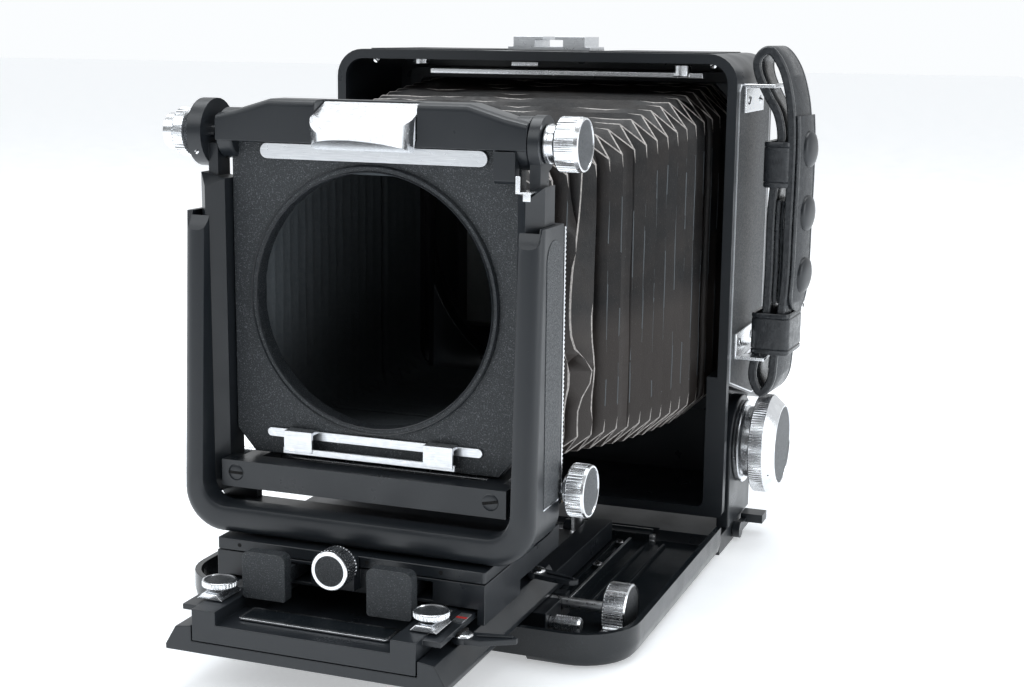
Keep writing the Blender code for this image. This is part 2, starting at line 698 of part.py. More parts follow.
def make_lens_panel():
    half, low, high = PANEL_HALF, PANEL_BOTTOM, PANEL_TOP
    outline = [(half - 7, low), (half, low + 8), (half, high)]
    outline += mirrored(outline)
    panel = prism("lens_panel", "lens_panel", "black_crackle", "Y", outline, PANEL_FRONT, PANEL_REAR)
    centre = (0, LENS_Z)
    rim = rod("hole_rim", "lens_panel", "black_paint", "Y", centre, HOLE_RIM_R, PANEL_FRONT - 1, -150, 48)
    hole = rod("lens_hole", "lens_panel", "black_paint", "Y", centre, HOLE_R, -156, -145, 48)
    join(panel, rim)
    cut(panel, hole)

    outline = [(57.9, high + GAP), (57.9, 190.5), (37, 196)]
    outline += mirrored(outline)
    yoke = prism("panel_yoke", "lens_panel", "black_paint", "Y", outline, -158, -144.5)
    for name, side in SIDES:
        x = sided(side, (25, 70))
        cut(yoke, rod(f"yoke_bore_{name}", "lens_panel", "black_paint", "X", (AXIS_Y, AXIS_Z), 2.8, *x))
    latch_half = LATCH_HALF + GAP
    x, y = (-latch_half, latch_half), (-165, LATCH_BACK + GAP)
    cut(yoke, block("latch_pocket", "lens_panel", "black_paint", x, y, (LATCH_FLOOR - GAP, 200)))

    ends = 2.7
    y = (PANEL_FRONT - 1.1, PANEL_FRONT - GAP)
    bar = rounded((-42.6, 42.6), (178 - ends, 178 + ends), (ends,) * 4, 5)
    prism("upper_board_bar", "lens_panel", "satin_steel", "Y", bar, *y)
    ends = 1.6
    bar = rounded((-41.5, 41.5), (77.6 - ends, 77.6 + ends), (ends,) * 4, 5)
    rest = prism("lower_board_rest", "lens_panel", "satin_steel", "Y", bar, *y)
    for name, side in SIDES:
        x = sided(side, (21.4, 32.4))
        hook = [(-158.2, 72.4), (-157, 72.4), (-157, 78.6), (-153.2, 78.6), (-153.2, 79.8), (-158.2, 79.8)]
        join(rest, prism(f"hook_{name}", "lens_panel", "chrome", "X", hook, *x))
    strip = [(-157.6, 71.4), (-153.4, 71.4), (-153.4, 72.3), (-156.4, 72.3)]
    strip += [(-156.4, 73.6), (-157.6, 73.6)]
    join(rest, prism("hook_strip", "lens_panel", "chrome", "X", strip, -33, 33))

    y = (PANEL_REAR + GAP, BELLOWS_FRONT - GAP)
    frame_ring("bellows_front_frame", "lens_panel", (51.5, 75.4, 179), (46.6, 80.4, 174), y)


def frame_ring(name, group, outside, inside, y):
    """A flat rectangular frame: (half width, low z, high z) outside and inside."""
    outer = rounded((-outside[0], outside[0]), (outside[1], outside[2]), (4,) * 4, 3)
    inner = rounded((-inside[0], inside[0]), (inside[1], inside[2]), (3,) * 4, 3)
    loops = []
    for outline in (outer, inner):
        loops.append([[(u, along, v) for u, v in outline] for along in y])
    return loft_tube(name, group, "black_paint", *loops)


def make_board_latch():
    """The catch for the lens board: a half disc that slopes down to a thin lip, set into the yoke."""
    radius = 19.8
    centre = (0, LATCH_FRONT + radius)
    corner = 19.4
    outline = arc(centre, radius, 180 + corner, 360 - corner, 14)
    outline += [(LATCH_HALF, LATCH_BACK), (-LATCH_HALF, LATCH_BACK)]
    latch = prism("board_latch", "board_latch", "chrome", "Z", outline, 180, 200)
    top = [(-185, 179.6), (-145, 197.7), (-145, 205), (-185, 205)]
    under = [(-185, 186.9), (-160, 180), (-160, 175), (-185, 175)]
    slope = prism("latch_top", "board_latch", "chrome", "X", top, -25, 25)
    lip = prism("latch_under", "board_latch", "chrome", "X", under, -25, 25)
    seat = block("latch_seat", "board_latch", "chrome", (-25, 25), (-158 - GAP, -145), (175, LATCH_FLOOR))
    cut(latch, slope, lip, seat)


# ---------------------------------------------------------------- bellows


def bellows_section(y):
    """Half width, low z, high z and corner chamfer of the bellows at this depth."""
    share = (y - BELLOWS_FRONT) / (BELLOWS_REAR - BELLOWS_FRONT)
    swell = 1 - (1 - share) ** 1.7
    half = 50.5 + 28 * swell
    low = 72.5 - 20.5 * swell + 5 * share**4
    high = 173 + 25 * (1 - (1 - share) ** 1.3)
    return half, low, high, 6.5 + 5 * share


def bellows_loop(y, inset):
    half, low, high, chamfer = bellows_section(y)
    half -= inset
    low += inset
    high -= inset
    corners = [(half - chamfer, low), (half, low + chamfer), (half, high - chamfer), (half - chamfer, high)]
    corners = [*corners, *mirrored(corners)]
    return [(u, y, v) for u, v in corners]


def make_bellows():
    steps = 8
    depths = [BELLOWS_FRONT + (BELLOWS_REAR - BELLOWS_FRONT) * k / steps for k in range(steps + 1)]
    outer = [bellows_loop(y, 0) for y in depths]
    inner = [bellows_loop(y, BELLOWS_SKIN) for y in depths]
    loft_tube("bellows", "rear_body", "bellows_cloth", outer, inner)
    rear_y = (BELLOWS_REAR + GAP, 61.5)
    frame_ring("bellows_rear_frame", "rear_body", (80, 50, 203), (75, 56, 198), rear_y)


# ---------------------------------------------------------------- rear body


def make_body_shell():
    """A box open at front and back. Its lower sides step in to leave room for the tilt brackets."""
    outer = rounded((-HALF_WIDTH, HALF_WIDTH), (BODY_FLOOR, BODY_TOP), (3, 3, BODY_CORNER, BODY_CORNER), 8)
    shell = prism("body_shell", "rear_body", "black_paint", "Y", outer, 0, BODY_REAR)
    rim_x = HALF_WIDTH - RIM_WIDTH
    rim_z = (BODY_FLOOR + RIM_WIDTH, BODY_TOP - RIM_WIDTH)
    mouth = rounded((-rim_x, rim_x), (STEP_TOP, rim_z[1]), (0, 0, 8, 8), 6)
    cavity_x = HALF_WIDTH - BODY_WALL
    cavity = rounded((-cavity_x, cavity_x), (STEP_TOP, BODY_TOP - BODY_WALL), (0, 0, 9, 9), 6)
    lower_x = LOWER_HALF_WIDTH - BODY_WALL
    low_mouth = rounded((-lower_x, lower_x), (rim_z[0], STEP_TOP + 9), (3, 3, 0, 0), 3)
    low_cavity = rounded((-lower_x, lower_x), (BODY_FLOOR + BODY_WALL, STEP_TOP + 9), (3, 3, 0, 0), 3)
    group = "rear_body"
    cut(
        shell,
        prism("mouth", group, "black_paint", "Y", mouth, -2, RIM_DEPTH + 1),
        prism("cavity", group, "black_paint", "Y", cavity, RIM_DEPTH, 62),
        prism("low_mouth", group, "black_paint", "Y", low_mouth, -3, RIM_DEPTH + 2),
        prism("low_cavity", group, "black_paint", "Y", low_cavity, RIM_DEPTH + 1, 62),
        block("back_opening", group, "black_paint", (-73, 73), (60, 70), (LENS_Z - 73, LENS_Z + 73)),
    )
    for name, side in SIDES:
        recess = [(4.2, 5), (4.2, 74), (75, 53.8), (75, 5)]
        x = sided(side, (LOWER_HALF_WIDTH, 97))
        cut(shell, prism(f"side_recess_{name}", group, "black_paint", "X", recess, *x))
        reach = sided(side, (78, 99))
        cut(shell, rod(f"pivot_bore_{name}", group, "black_paint", "X", (TILT_Y, TILT_Z), 3.9, *reach))
        lock_x = sided(side, (79.9, lower_x - GAP))
        plate = rounded((26, 40), (24, 61), (2,) * 4, 2)
        lock = prism(f"tilt_lock_plate_{name}", group, "satin_steel", "X", plate, *lock_x)
        pin_x = sided(side, (75.8, 80.4))
        join(lock, rod(f"lock_pin_{name}", group, "satin_steel", "X", (28.5, 39.5), 1.8, *pin_x))
    height = (BODY_TOP - 6, BODY_TOP + 4)
    cut(shell, rod("button_hole", group, "black_paint", "Z", BUTTON_AT, BUTTON_R + 0.4, *height))


def make_body_fittings():
    group = "rear_body"
    half = [(19, 211.6), (19, 213.1), (16.5, 213.1), (16.5, 217.4)]
    half += [(2.7, 217.4), (2.7, 216), (6.5, 216), (6.5, 213.1)]
    prism("accessory_shoe", group, "satin_steel", "Y", [*half, *mirrored(half)], 25, 45)

    bar = block("latch_bar", "latch_bar", "chrome", (-48, 74), (6.4, 9.6), (201.2, 203.4))
    join(bar, rod("latch_roller", "latch_bar", "chrome", "Z", (65, 8), 3.6, 202, 206.6))

    profile = [(BUTTON_R, BODY_TOP - 6.5), (BUTTON_R, BODY_TOP - 0.6), (BUTTON_R - 0.6, BODY_TOP)]
    turned("release_button", "release_button", "chrome", "Z", BUTTON_AT, profile, SMALL_ROUND)


def strap_bracket(name, y, plate_z, flange_z):
    """A bent bracket on the body's side: a screwed plate and a slotted flange for the strap."""
    plate = block(name, "rear_body", "chrome", (90.3, 91.7), y, plate_z)
    flange = block(f"{name}_flange", "rear_body", "chrome", (90.3, 103.4), y, flange_z)
    room_y = (STRAP_Y[0] - 1.6, STRAP_Y[1] + 1.6)
    room_z = (flange_z[0] - 1, flange_z[1] + 1)
    room = block(f"{name}_slot", "rear_body", "chrome", (93.4, 101.2), room_y, room_z)
    join(plate, flange)
    cut(plate, room)


def strap_path(offset, y):
    """The strap's section at this depth, (x, z), this far outside its middle line."""
    per_span = 2
    spans = len(STRAP_LINE)
    count = spans * per_span
    middle = sum(STRAP_Y) / 2
    points = []
    for k in range(count):
        span, step = divmod(k, per_span)
        t = step / per_span
        before, start, end, after = (Vector(STRAP_LINE[(span + shift) % spans]) for shift in (-1, 0, 1, 2))
        bend = 2 * before - 5 * start + 4 * end - after
        twist = 3 * start - before - 3 * end + after
        point = (2 * start + (end - before) * t + bend * t**2 + twist * t**3) / 2
        outer_run = 0.5 + 0.5 * math.cos(math.tau * k / count)
        point.x += STRAP_TWIST * (y - middle) * outer_run
        points.append(point)
    shifted = []
    for k in range(count):
        along = points[(k + 1) % count] - points[k - 1]
        normal = Vector((along.y, -along.x)).normalized()
        shifted.append(points[k] + normal * offset)
    return shifted


def make_strap():
    strap_bracket("strap_bracket_top", (10, 44), (187.5, 199.4), (197.8, 199.4))
    strap_bracket("strap_bracket_bottom", (8.5, 42.5), (84.4, 95.5), (84.4, 86))
    loops = []
    for offset in (STRAP_THICK / 2, -STRAP_THICK / 2):
        loops.append([[(x, y, z) for x, z in strap_path(offset, y)] for y in STRAP_Y])
    loft_tube("hand_strap", "rear_body", "leather", *loops)


def make_back():
    """The revolving back with its ground glass and folding hood, all centred on the lens axis."""
    centre = (0, LENS_Z)
    y = (BODY_REAR + GAP, BACK_FRONT - GAP)
    ring = rod("back_ring", "rear_body", "satin_steel", "Y", centre, 79, *y, 48)
    cut(ring, rod("ring_bore", "rear_body", "satin_steel", "Y", centre, 74.5, 60, 80, 48))

    z = LENS_Z
    outer = rounded((-BACK_HALF, BACK_HALF), (z - BACK_HALF, z + BACK_HALF), (6,) * 4, 3)
    frame = prism("back_frame", "revolving_back", "black_paint", "Y", outer, BACK_FRONT, GLASS_FRONT - GAP)
    gate = block("film_gate", "revolving_back", "black_paint", (-62, 62), (70, 90), (z - 49.5, z + 49.5))
    cut(frame, gate)

    group = "ground_glass"
    outer = rounded((-76, 76), (z - 60, z + 60), (5,) * 4, 3)
    holder = prism("ground_glass_frame", group, "black_paint", "Y", outer, GLASS_FRONT, HOOD_Y - GAP)
    wide = block("glass_seat", group, "black_paint", (-65, 65), (80, 87.4), (z - 52.5, z + 52.5))
    view = block("glass_view", group, "black_paint", (-61, 61), (82, 96), (z - 48.5, z + 48.5))
    cut(holder, wide, view)
    block("ground_glass", group, "glass", (-64.6, 64.6), (85, 87.1), (z - 52.1, z + 52.1))

    lid = rounded((-66, 66), (74, HOOD_AXIS[1]), (4, 4, 1, 1), 3)
    hood = prism("hood_lid", "hood", "black_paint", "Y", lid, HOOD_Y + 0.6, HOOD_Y + 4.2)
    barrel = rod("hood_barrel", "hood", "black_paint", "X", HOOD_AXIS, 2, -60, 60)
    join(hood, barrel)


make_base()
make_tilt_brackets()
make_base_lever()
make_bed()
make_rail_base()
make_focus_drive()
make_track()
make_index_blocks()
make_stops()
make_carriage()
make_grips()
make_u_frame()
make_posts()
make_crossbar()
make_front_tilt_knobs()
make_lens_panel()
make_board_latch()
make_bellows()
make_body_shell()
make_body_fittings()
make_strap()
make_back()
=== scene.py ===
"""Looks for the folding view camera: fine meshes, materials, light and the view.

Lengths are millimetres in the camera's own frame, whose Y = 0 plane is the front rim of the rear body,
whose X = 0 plane is its middle and whose Z = 0 plane is the surface it stands on. ORIGIN, read from the
body's shell, moves them into the part's own frame, whose unit is the metre.
"""

import math

import bmesh
import bpy
from mathutils import Matrix, Vector, noise


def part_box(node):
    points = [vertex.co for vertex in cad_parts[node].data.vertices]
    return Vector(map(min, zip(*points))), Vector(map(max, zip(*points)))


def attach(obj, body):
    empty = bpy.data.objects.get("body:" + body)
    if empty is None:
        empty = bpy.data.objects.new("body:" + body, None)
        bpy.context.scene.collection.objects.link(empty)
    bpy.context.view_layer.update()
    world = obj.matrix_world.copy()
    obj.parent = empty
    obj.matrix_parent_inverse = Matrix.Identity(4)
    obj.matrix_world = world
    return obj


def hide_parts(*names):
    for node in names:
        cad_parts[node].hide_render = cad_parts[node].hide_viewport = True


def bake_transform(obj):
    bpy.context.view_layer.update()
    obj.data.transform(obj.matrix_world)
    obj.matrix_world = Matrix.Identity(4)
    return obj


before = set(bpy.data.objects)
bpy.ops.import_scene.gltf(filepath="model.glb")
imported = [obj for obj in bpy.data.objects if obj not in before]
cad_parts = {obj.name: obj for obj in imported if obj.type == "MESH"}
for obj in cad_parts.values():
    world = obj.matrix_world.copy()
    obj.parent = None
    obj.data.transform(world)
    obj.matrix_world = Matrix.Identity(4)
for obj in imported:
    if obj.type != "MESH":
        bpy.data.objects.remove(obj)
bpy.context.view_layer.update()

MM = 0.001
SHELL_LOW, SHELL_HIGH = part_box("body_shell")
ORIGIN = Vector(((SHELL_LOW.x + SHELL_HIGH.x) / 2, SHELL_LOW.y, 0))
SIDES = (("left", -1), ("right", 1))
AXES = {"X": (1, 2, 0), "Y": (0, 2, 1), "Z": (0, 1, 2)}  # where (u, v, along) go
LENS_AXIS = 127.2  # height of the lens hole's middle and of the film's
STOP_PIVOT = 48.3
STOPS = (("front", -187.0, 1), ("rear", -117.0, -1))  # name, y of the pivot, which way the lever bends
BODY_SIDE = 89.9  # where the body's leather starts, out from the middle


def limits(node):
    """A CAD node's box in millimetres in the camera's own frame."""
    low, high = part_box(node)
    return (low - ORIGIN) / MM, (high - ORIGIN) / MM


def centre_of(node):
    """The (y, z) middle of a CAD node's box: the axis of a knob or screw that lies along X."""
    low, high = limits(node)
    return (low.y + high.y) / 2, (low.z + high.z) / 2


# ---------------------------------------------------------------- materials


class Surface:
    """A Principled material with short ways to add procedural detail."""

    def __init__(self, name, colour, roughness, metallic=0.0, **sockets):
        self.material = bpy.data.materials.new(name)
        self.material.use_nodes = True
        self.nodes = self.material.node_tree.nodes
        self.links = self.material.node_tree.links
        self.shader = self.nodes["Principled BSDF"]
        self.shader.inputs["Base Color"].default_value = (*colour, 1)
        self.shader.inputs["Roughness"].default_value = roughness
        self.shader.inputs["Metallic"].default_value = metallic
        for socket, value in sockets.items():
            self.shader.inputs[socket.replace("_", " ")].default_value = value
        self.place = self.nodes.new("ShaderNodeTexCoord").outputs["Object"]
        self.normal = None
        self.last_mix = None

    def add(self, kind, **settings):
        node = self.nodes.new(kind)
        for key, value in settings.items():
            setattr(node, key, value)
        return node

    def stretched(self, scale):
        mapping = self.add("ShaderNodeMapping")
        mapping.inputs["Scale"].default_value = scale
        self.links.new(self.place, mapping.inputs["Vector"])
        return mapping.outputs["Vector"]

    def noise(self, size, detail=3.0, rough=0.5, stretch=None):
        """Noise whose features are about this many millimetres across."""
        node = self.add("ShaderNodeTexNoise")
        node.inputs["Scale"].default_value = 1 / (size * MM)
        node.inputs["Detail"].default_value = detail
        node.inputs["Roughness"].default_value = rough
        self.links.new(self.stretched(stretch) if stretch else self.place, node.inputs["Vector"])
        return node.outputs["Fac"]

    def height(self):
        split = self.add("ShaderNodeSeparateXYZ")
        self.links.new(self.place, split.inputs["Vector"])
        return split.outputs["Z"]

    def cells(self, size, feature="F1"):
        node = self.add("ShaderNodeTexVoronoi", feature=feature)
        node.inputs["Scale"].default_value = 1 / (size * MM)
        self.links.new(self.place, node.inputs["Vector"])
        return node.outputs["Distance"]

    def ramp(self, value, low, high, start=0.0, end=1.0):
        node = self.add("ShaderNodeMapRange")
        node.inputs["From Min"].default_value = low
        node.inputs["From Max"].default_value = high
        node.inputs["To Min"].default_value = start
        node.inputs["To Max"].default_value = end
        self.links.new(value, node.inputs["Value"])
        return node.outputs["Result"]

    def colours(self, value, first, second):
        node = self.add("ShaderNodeMix", data_type="RGBA")
        node.inputs["A"].default_value = (*first, 1)
        node.inputs["B"].default_value = (*second, 1)
        self.links.new(value, node.inputs["Factor"])
        self.links.new(node.outputs["Result"], self.shader.inputs["Base Color"])
        self.last_mix = node
        return self

    def over(self, value, colour):
        """One more colour laid over the ones so far, where value is 1."""
        node = self.add("ShaderNodeMix", data_type="RGBA")
        node.inputs["B"].default_value = (*colour, 1)
        self.links.new(self.last_mix.outputs["Result"], node.inputs["A"])
        self.links.new(value, node.inputs["Factor"])
        self.links.new(node.outputs["Result"], self.shader.inputs["Base Color"])
        self.last_mix = node
        return self

    def patches(self, size, detail, low, high, first, second):
        """Two colours, the second where noise of this size passes from low to high."""
        return self.colours(self.ramp(self.noise(size, detail), low, high), first, second)

    def sheen(self, size, detail, smoothest, roughest):
        """Roughness that wanders between two values over features of this size."""
        return self.gloss(self.ramp(self.noise(size, detail), 0.3, 0.7, smoothest, roughest))

    def gloss(self, value):
        self.links.new(value, self.shader.inputs["Roughness"])
        return self

    def bump(self, value, depth, strength=1.0):
        """Relief of this depth in millimetres, laid over any earlier one."""
        node = self.add("ShaderNodeBump")
        node.inputs["Distance"].default_value = depth * MM
        node.inputs["Strength"].default_value = strength
        self.links.new(value, node.inputs["Height"])
        if self.normal:
            self.links.new(self.normal, node.inputs["Normal"])
        self.normal = node.outputs["Normal"]
        self.links.new(self.normal, self.shader.inputs["Normal"])
        return self


def black_paint():
    """Satin black enamel with a fine orange peel, faint handling marks and a little dust; its blacks are
    tinted a little blue as painted haze.
    """
    s = Surface("black_paint", (0.014, 0.017, 0.021), 0.33)
    s.patches(0.35, 2, 0.68, 0.78, (0.0135, 0.0165, 0.0205), (0.036, 0.039, 0.044))
    s.sheen(14, 4, 0.27, 0.39)
    return s.bump(s.noise(0.9, 2), 0.012).bump(s.noise(0.16, 1), 0.004)


def gloss_paint():
    """The bed's floor: glossier black with hairline rubs from the track."""
    s = Surface("black_gloss", (0.010, 0.013, 0.016), 0.16)
    rubs = s.noise(0.5, 3, 0.6, (1.0, 0.03, 1.0))
    s.colours(s.ramp(rubs, 0.62, 0.8), (0.010, 0.013, 0.016), (0.045, 0.048, 0.053))
    s.sheen(9, 4, 0.12, 0.26)
    return s.bump(s.noise(2.2, 2), 0.01)


def crackle_paint():
    """Matt black crackle enamel, with grains that catch the light."""
    s = Surface("black_crackle", (0.022, 0.026, 0.030), 0.5)
    grains = s.cells(0.5)
    s.patches(0.36, 1, 0.60, 0.70, (0.019, 0.023, 0.027), (0.115, 0.122, 0.132))
    s.sheen(0.5, 2, 0.36, 0.6)
    return s.bump(grains, 0.13).bump(s.noise(0.7, 3), 0.07)


def leatherette():
    """Pebbled black leather cloth on the body and on the front frame's sides."""
    s = Surface("leatherette", (0.040, 0.044, 0.049), 0.46)
    s.patches(0.5, 2, 0.42, 0.68, (0.028, 0.032, 0.036), (0.105, 0.112, 0.120))
    s.sheen(0.8, 2, 0.36, 0.56)
    return s.bump(s.cells(0.75), 0.16).bump(s.noise(0.3, 2), 0.05)


def body_leatherette():
    """The body's covering: the same cloth, darker and finer."""
    s = Surface("body_leatherette", (0.022, 0.025, 0.028), 0.5)
    s.patches(0.45, 2, 0.48, 0.72, (0.014, 0.0165, 0.019), (0.075, 0.080, 0.087))
    s.sheen(0.7, 2, 0.40, 0.60)
    return s.bump(s.cells(0.7), 0.16).bump(s.noise(0.3, 2), 0.05)


def strap_leather():
    """Smooth black strap leather, waxed, with long soft creases."""
    s = Surface("strap_leather", (0.014, 0.017, 0.020), 0.3)
    s.patches(2.5, 4, 0.4, 0.75, (0.020, 0.023, 0.027), (0.044, 0.048, 0.053))
    s.sheen(3, 4, 0.20, 0.40)
    return s.bump(s.noise(1.6, 4, 0.6, (1, 1, 0.5)), 0.10).bump(s.cells(0.5), 0.03)


def bellows_leather():
    """Thin black-brown leather: fine grain and pale dust specks, browner towards the bottom as a painted
    reflection of the pale floor.
    """
    s = Surface("bellows_leather", (0.018, 0.0165, 0.017), 0.42, Specular_IOR_Level=0.28)
    s.colours(s.ramp(s.noise(18, 4, 0.6), 0.38, 0.66), (0.0075, 0.0075, 0.0085), (0.022, 0.0185, 0.0172))
    # painted reflection: lower down the colour turns browner, where the folds would mirror the floor
    s.over(s.ramp(s.height(), 0.121, 0.109), (0.040, 0.0335, 0.0305))
    s.over(s.ramp(s.noise(0.42, 1), 0.66, 0.76, 0.0, 0.6), (0.075, 0.070, 0.069))
    s.sheen(2.2, 4, 0.28, 0.46)
    return s.bump(s.noise(0.6, 4, 0.65), 0.06).bump(s.noise(5, 3), 0.12).bump(s.cells(0.45), 0.03)


def worn_leather():
    """The bellows' fold edges, where the dye has rubbed off."""
    s = Surface("bellows_worn_edge", (0.30, 0.28, 0.265), 0.46)
    s.colours(s.ramp(s.noise(1.2, 4, 0.7), 0.30, 0.56), (0.15, 0.14, 0.132), (0.46, 0.43, 0.41))
    s.sheen(2.2, 4, 0.36, 0.56)
    return s.bump(s.noise(0.5, 4, 0.65), 0.06)


def thread():
    s = Surface("strap_thread", (0.03, 0.033, 0.036), 0.7)
    s.patches(0.6, 2, 0.35, 0.65, (0.022, 0.025, 0.028), (0.07, 0.075, 0.08))
    return s.bump(s.noise(0.2, 2), 0.05)


def chamber_black_painted_haze():
    """Matt black cloth inside the bellows, with painted haze: its colour is raised to a dark grey that stands
    in for scattered light in the dark hole.
    """
    # painted haze: far lighter than black cloth, so the inside looks lit by stray light
    s = Surface("chamber_black_painted_haze", (0.085, 0.098, 0.108), 0.8)
    return s.sheen(2.0, 3, 0.62, 0.9).bump(s.noise(0.5, 3), 0.08)


def satin_chrome():
    """Plated and finely brushed metal, with soft smears."""
    s = Surface("satin_chrome", (0.86, 0.875, 0.895), 0.2, 1.0)
    s.patches(4, 4, 0.3, 0.75, (0.89, 0.905, 0.925), (0.78, 0.795, 0.82))
    s.sheen(0.8, 4, 0.15, 0.28)
    return s.bump(s.noise(0.12, 2), 0.003)


def brushed_steel():
    """Steel brushed along its length."""
    s = Surface("brushed_steel", (0.74, 0.755, 0.775), 0.3, 1.0)
    lines = s.noise(0.18, 3, 0.6, (0.03, 1.0, 1.0))
    s.colours(s.ramp(lines, 0.3, 0.7), (0.84, 0.855, 0.875), (0.66, 0.675, 0.70))
    s.sheen(1.5, 3, 0.26, 0.42)
    return s.bump(lines, 0.006)


def grained_inlay(name, dark, light, share):
    """The knobs' end discs: hard black or grey grains in a matt ground."""
    s = Surface(name, dark, 0.5)
    s.colours(s.ramp(s.noise(0.32, 2, 0.7), share, share + 0.14), dark, light)
    s.gloss(s.ramp(s.noise(0.3, 2), 0.35, 0.65, 0.34, 0.62))
    return s.bump(s.cells(0.42), 0.16).bump(s.noise(0.2, 2), 0.05)


def ground_glass():
    """Glass ground on one face: milky, with its grain just visible."""
    s = Surface("ground_glass", (0.62, 0.66, 0.66), 0.55, 0.0, IOR=1.5)
    s.shader.inputs["Transmission Weight"].default_value = 0.35
    s.sheen(0.2, 2, 0.45, 0.65)
    return s.bump(s.noise(0.12, 2), 0.01)


def turned_brass():
    s = Surface("turned_brass", (0.62, 0.47, 0.25), 0.32, 1.0)
    s.patches(2, 4, 0.3, 0.7, (0.66, 0.51, 0.28), (0.45, 0.33, 0.18))
    return s.sheen(0.6, 3, 0.22, 0.42).bump(s.noise(0.15, 2), 0.004)


def shade_and_ink():
    """Near black: the dark of a joint between two machined plates, the painted shade at the bottom of a screw
    slot and in small holes, and the ink of ruled lines and scale marks.
    """
    s = Surface("shade_and_ink", (0.002, 0.002, 0.002), 0.9)
    return s.sheen(0.5, 2, 0.8, 1.0).bump(s.noise(0.3, 2), 0.01)


def red_mark():
    s = Surface("red_mark", (0.55, 0.03, 0.03), 0.45)
    s.patches(0.4, 3, 0.3, 0.7, (0.60, 0.035, 0.03), (0.36, 0.02, 0.02))
    return s.bump(s.noise(0.25, 2), 0.01)


PAINT = black_paint().material
GLOSS = gloss_paint().material
CRACKLE = crackle_paint().material
LEATHERETTE = leatherette().material
BODY_LEATHER = body_leatherette().material
STRAP = strap_leather().material
BELLOWS = bellows_leather().material
BELLOWS_WORN = worn_leather().material
THREAD = thread().material
CHAMBER_PAINTED_HAZE = chamber_black_painted_haze().material
CHROME = satin_chrome().material
STEEL = brushed_steel().material
INLAY_BLACK = grained_inlay("inlay_black", (0.014, 0.017, 0.020), (0.11, 0.118, 0.128), 0.55).material
INLAY_GREY = grained_inlay("inlay_grey", (0.030, 0.035, 0.040), (0.10, 0.108, 0.118), 0.42).material
GLASS = ground_glass().material
BRASS = turned_brass().material
SHADE_AND_INK = shade_and_ink().material
RED = red_mark().material


# ---------------------------------------------------------------- mesh tools


def at(u, v, along, axis):
    point = [0.0, 0.0, 0.0]
    for value, slot in zip((u, v, along), AXES[axis]):
        point[slot] = value
    return Vector(point)


def bridge(bm, first, second, material=0):
    count = len(first)
    faces = []
    for i in range(count):
        j = (i + 1) % count
        faces.append(bm.faces.new((first[i], first[j], second[j], second[i])))
    for face in faces:
        face.material_index = material
    return faces


def cap(bm, ring, material=0):
    face = bm.faces.new(ring)
    face.material_index = material
    return face


def loft(bm, rings, closed=False):
    """Skins rings of points into a body, capped at both ends or closed on itself."""
    pairs = list(zip(rings, rings[1:]))
    if closed:
        pairs.append((rings[-1], rings[0]))
    for first, second in pairs:
        bridge(bm, first, second)
    if not closed:
        cap(bm, rings[0])
        cap(bm, rings[-1])


def add_prism(bm, axis, outline, low, high, material=0):
    bottom = [bm.verts.new(at(u, v, low, axis)) for u, v in outline]
    top = [bm.verts.new(at(u, v, high, axis)) for u, v in outline]
    bridge(bm, bottom, top, material)
    cap(bm, bottom, material)
    cap(bm, top, material)


def add_block(bm, x, y, z, material=0):
    outline = [(x[0], y[0]), (x[1], y[0]), (x[1], y[1]), (x[0], y[1])]
    add_prism(bm, "Z", outline, z[0], z[1], material)


def add_turned(bm, axis, centre, profile, sides=48, teeth=0, depth=0.0):
    """A solid of revolution. Each profile entry is (radius, along, material, knurled)."""
    rings = []
    per_tooth = 4
    count = teeth * per_tooth if teeth else sides
    for radius, along, material, knurled in profile:
        if radius == 0:
            rings.append(([bm.verts.new(at(centre[0], centre[1], along, axis))], material))
            continue
        ring = []
        for k in range(count):
            angle = math.tau * k / count
            reach = radius - (depth if knurled and k % per_tooth in (0, 1) else 0)
            u = centre[0] + reach * math.cos(angle)
            v = centre[1] + reach * math.sin(angle)
            ring.append(bm.verts.new(at(u, v, along, axis)))
        rings.append((ring, material))
    for (first, _), (second, material) in zip(rings, rings[1:]):
        if len(first) == 1 or len(second) == 1:
            point, ring = (first[0], second) if len(first) == 1 else (second[0], first)
            for k in range(len(ring)):
                face = bm.faces.new((point, ring[k], ring[(k + 1) % len(ring)]))
                face.material_index = material
        else:
            bridge(bm, first, second, material)
    for ring, material in (rings[0], rings[-1]):
        if len(ring) > 1:
            cap(bm, ring, material)


def plain(profile, material=0):
    return [(radius, along, material, False) for radius, along in profile]


def dome(centre_along, radius, height, sign, material=0, steps=5):
    """Profile of a low domed head that stands on a face."""
    profile = [(radius * 0.96, centre_along - sign * 0.4, material, False)]
    for k in range(steps + 1):
        angle = math.pi / 2 * k / steps
        along = centre_along + sign * height * math.sin(angle)
        profile.append((radius * math.cos(angle), along, material, False))
    profile[-1] = (0, centre_along + sign * height, material, False)
    return profile


def arc(centre, radius, start, end, steps):
    points = []
    for k in range(steps + 1):
        angle = math.radians(start + (end - start) * k / steps)
        points.append((centre[0] + radius * math.cos(angle), centre[1] + radius * math.sin(angle)))
    return points


def rounded(u, v, radii, steps=8):
    """A rectangle with its own radius at each corner: low-low, high-low, high-high, low-high."""
    corners = (
        ((u[0], v[0]), (1, 1), 180),
        ((u[1], v[0]), (-1, 1), 270),
        ((u[1], v[1]), (-1, -1), 0),
        ((u[0], v[1]), (1, -1), 90),
    )
    points = []
    for (corner, inward, start), radius in zip(corners, radii):
        if radius == 0:
            points.append(corner)
            continue
        centre = (corner[0] + inward[0] * radius, corner[1] + inward[1] * radius)
        points += arc(centre, radius, start, start + 90, steps)
    return points


def sided(side, pair):
    """A span given for the right side, moved to this side, low end first."""
    return tuple(sorted((side * pair[0], side * pair[1])))


def smooth(obj, angle=32):
    obj.data.shade_smooth()
    obj.data.set_sharp_from_angle(angle=math.radians(angle))


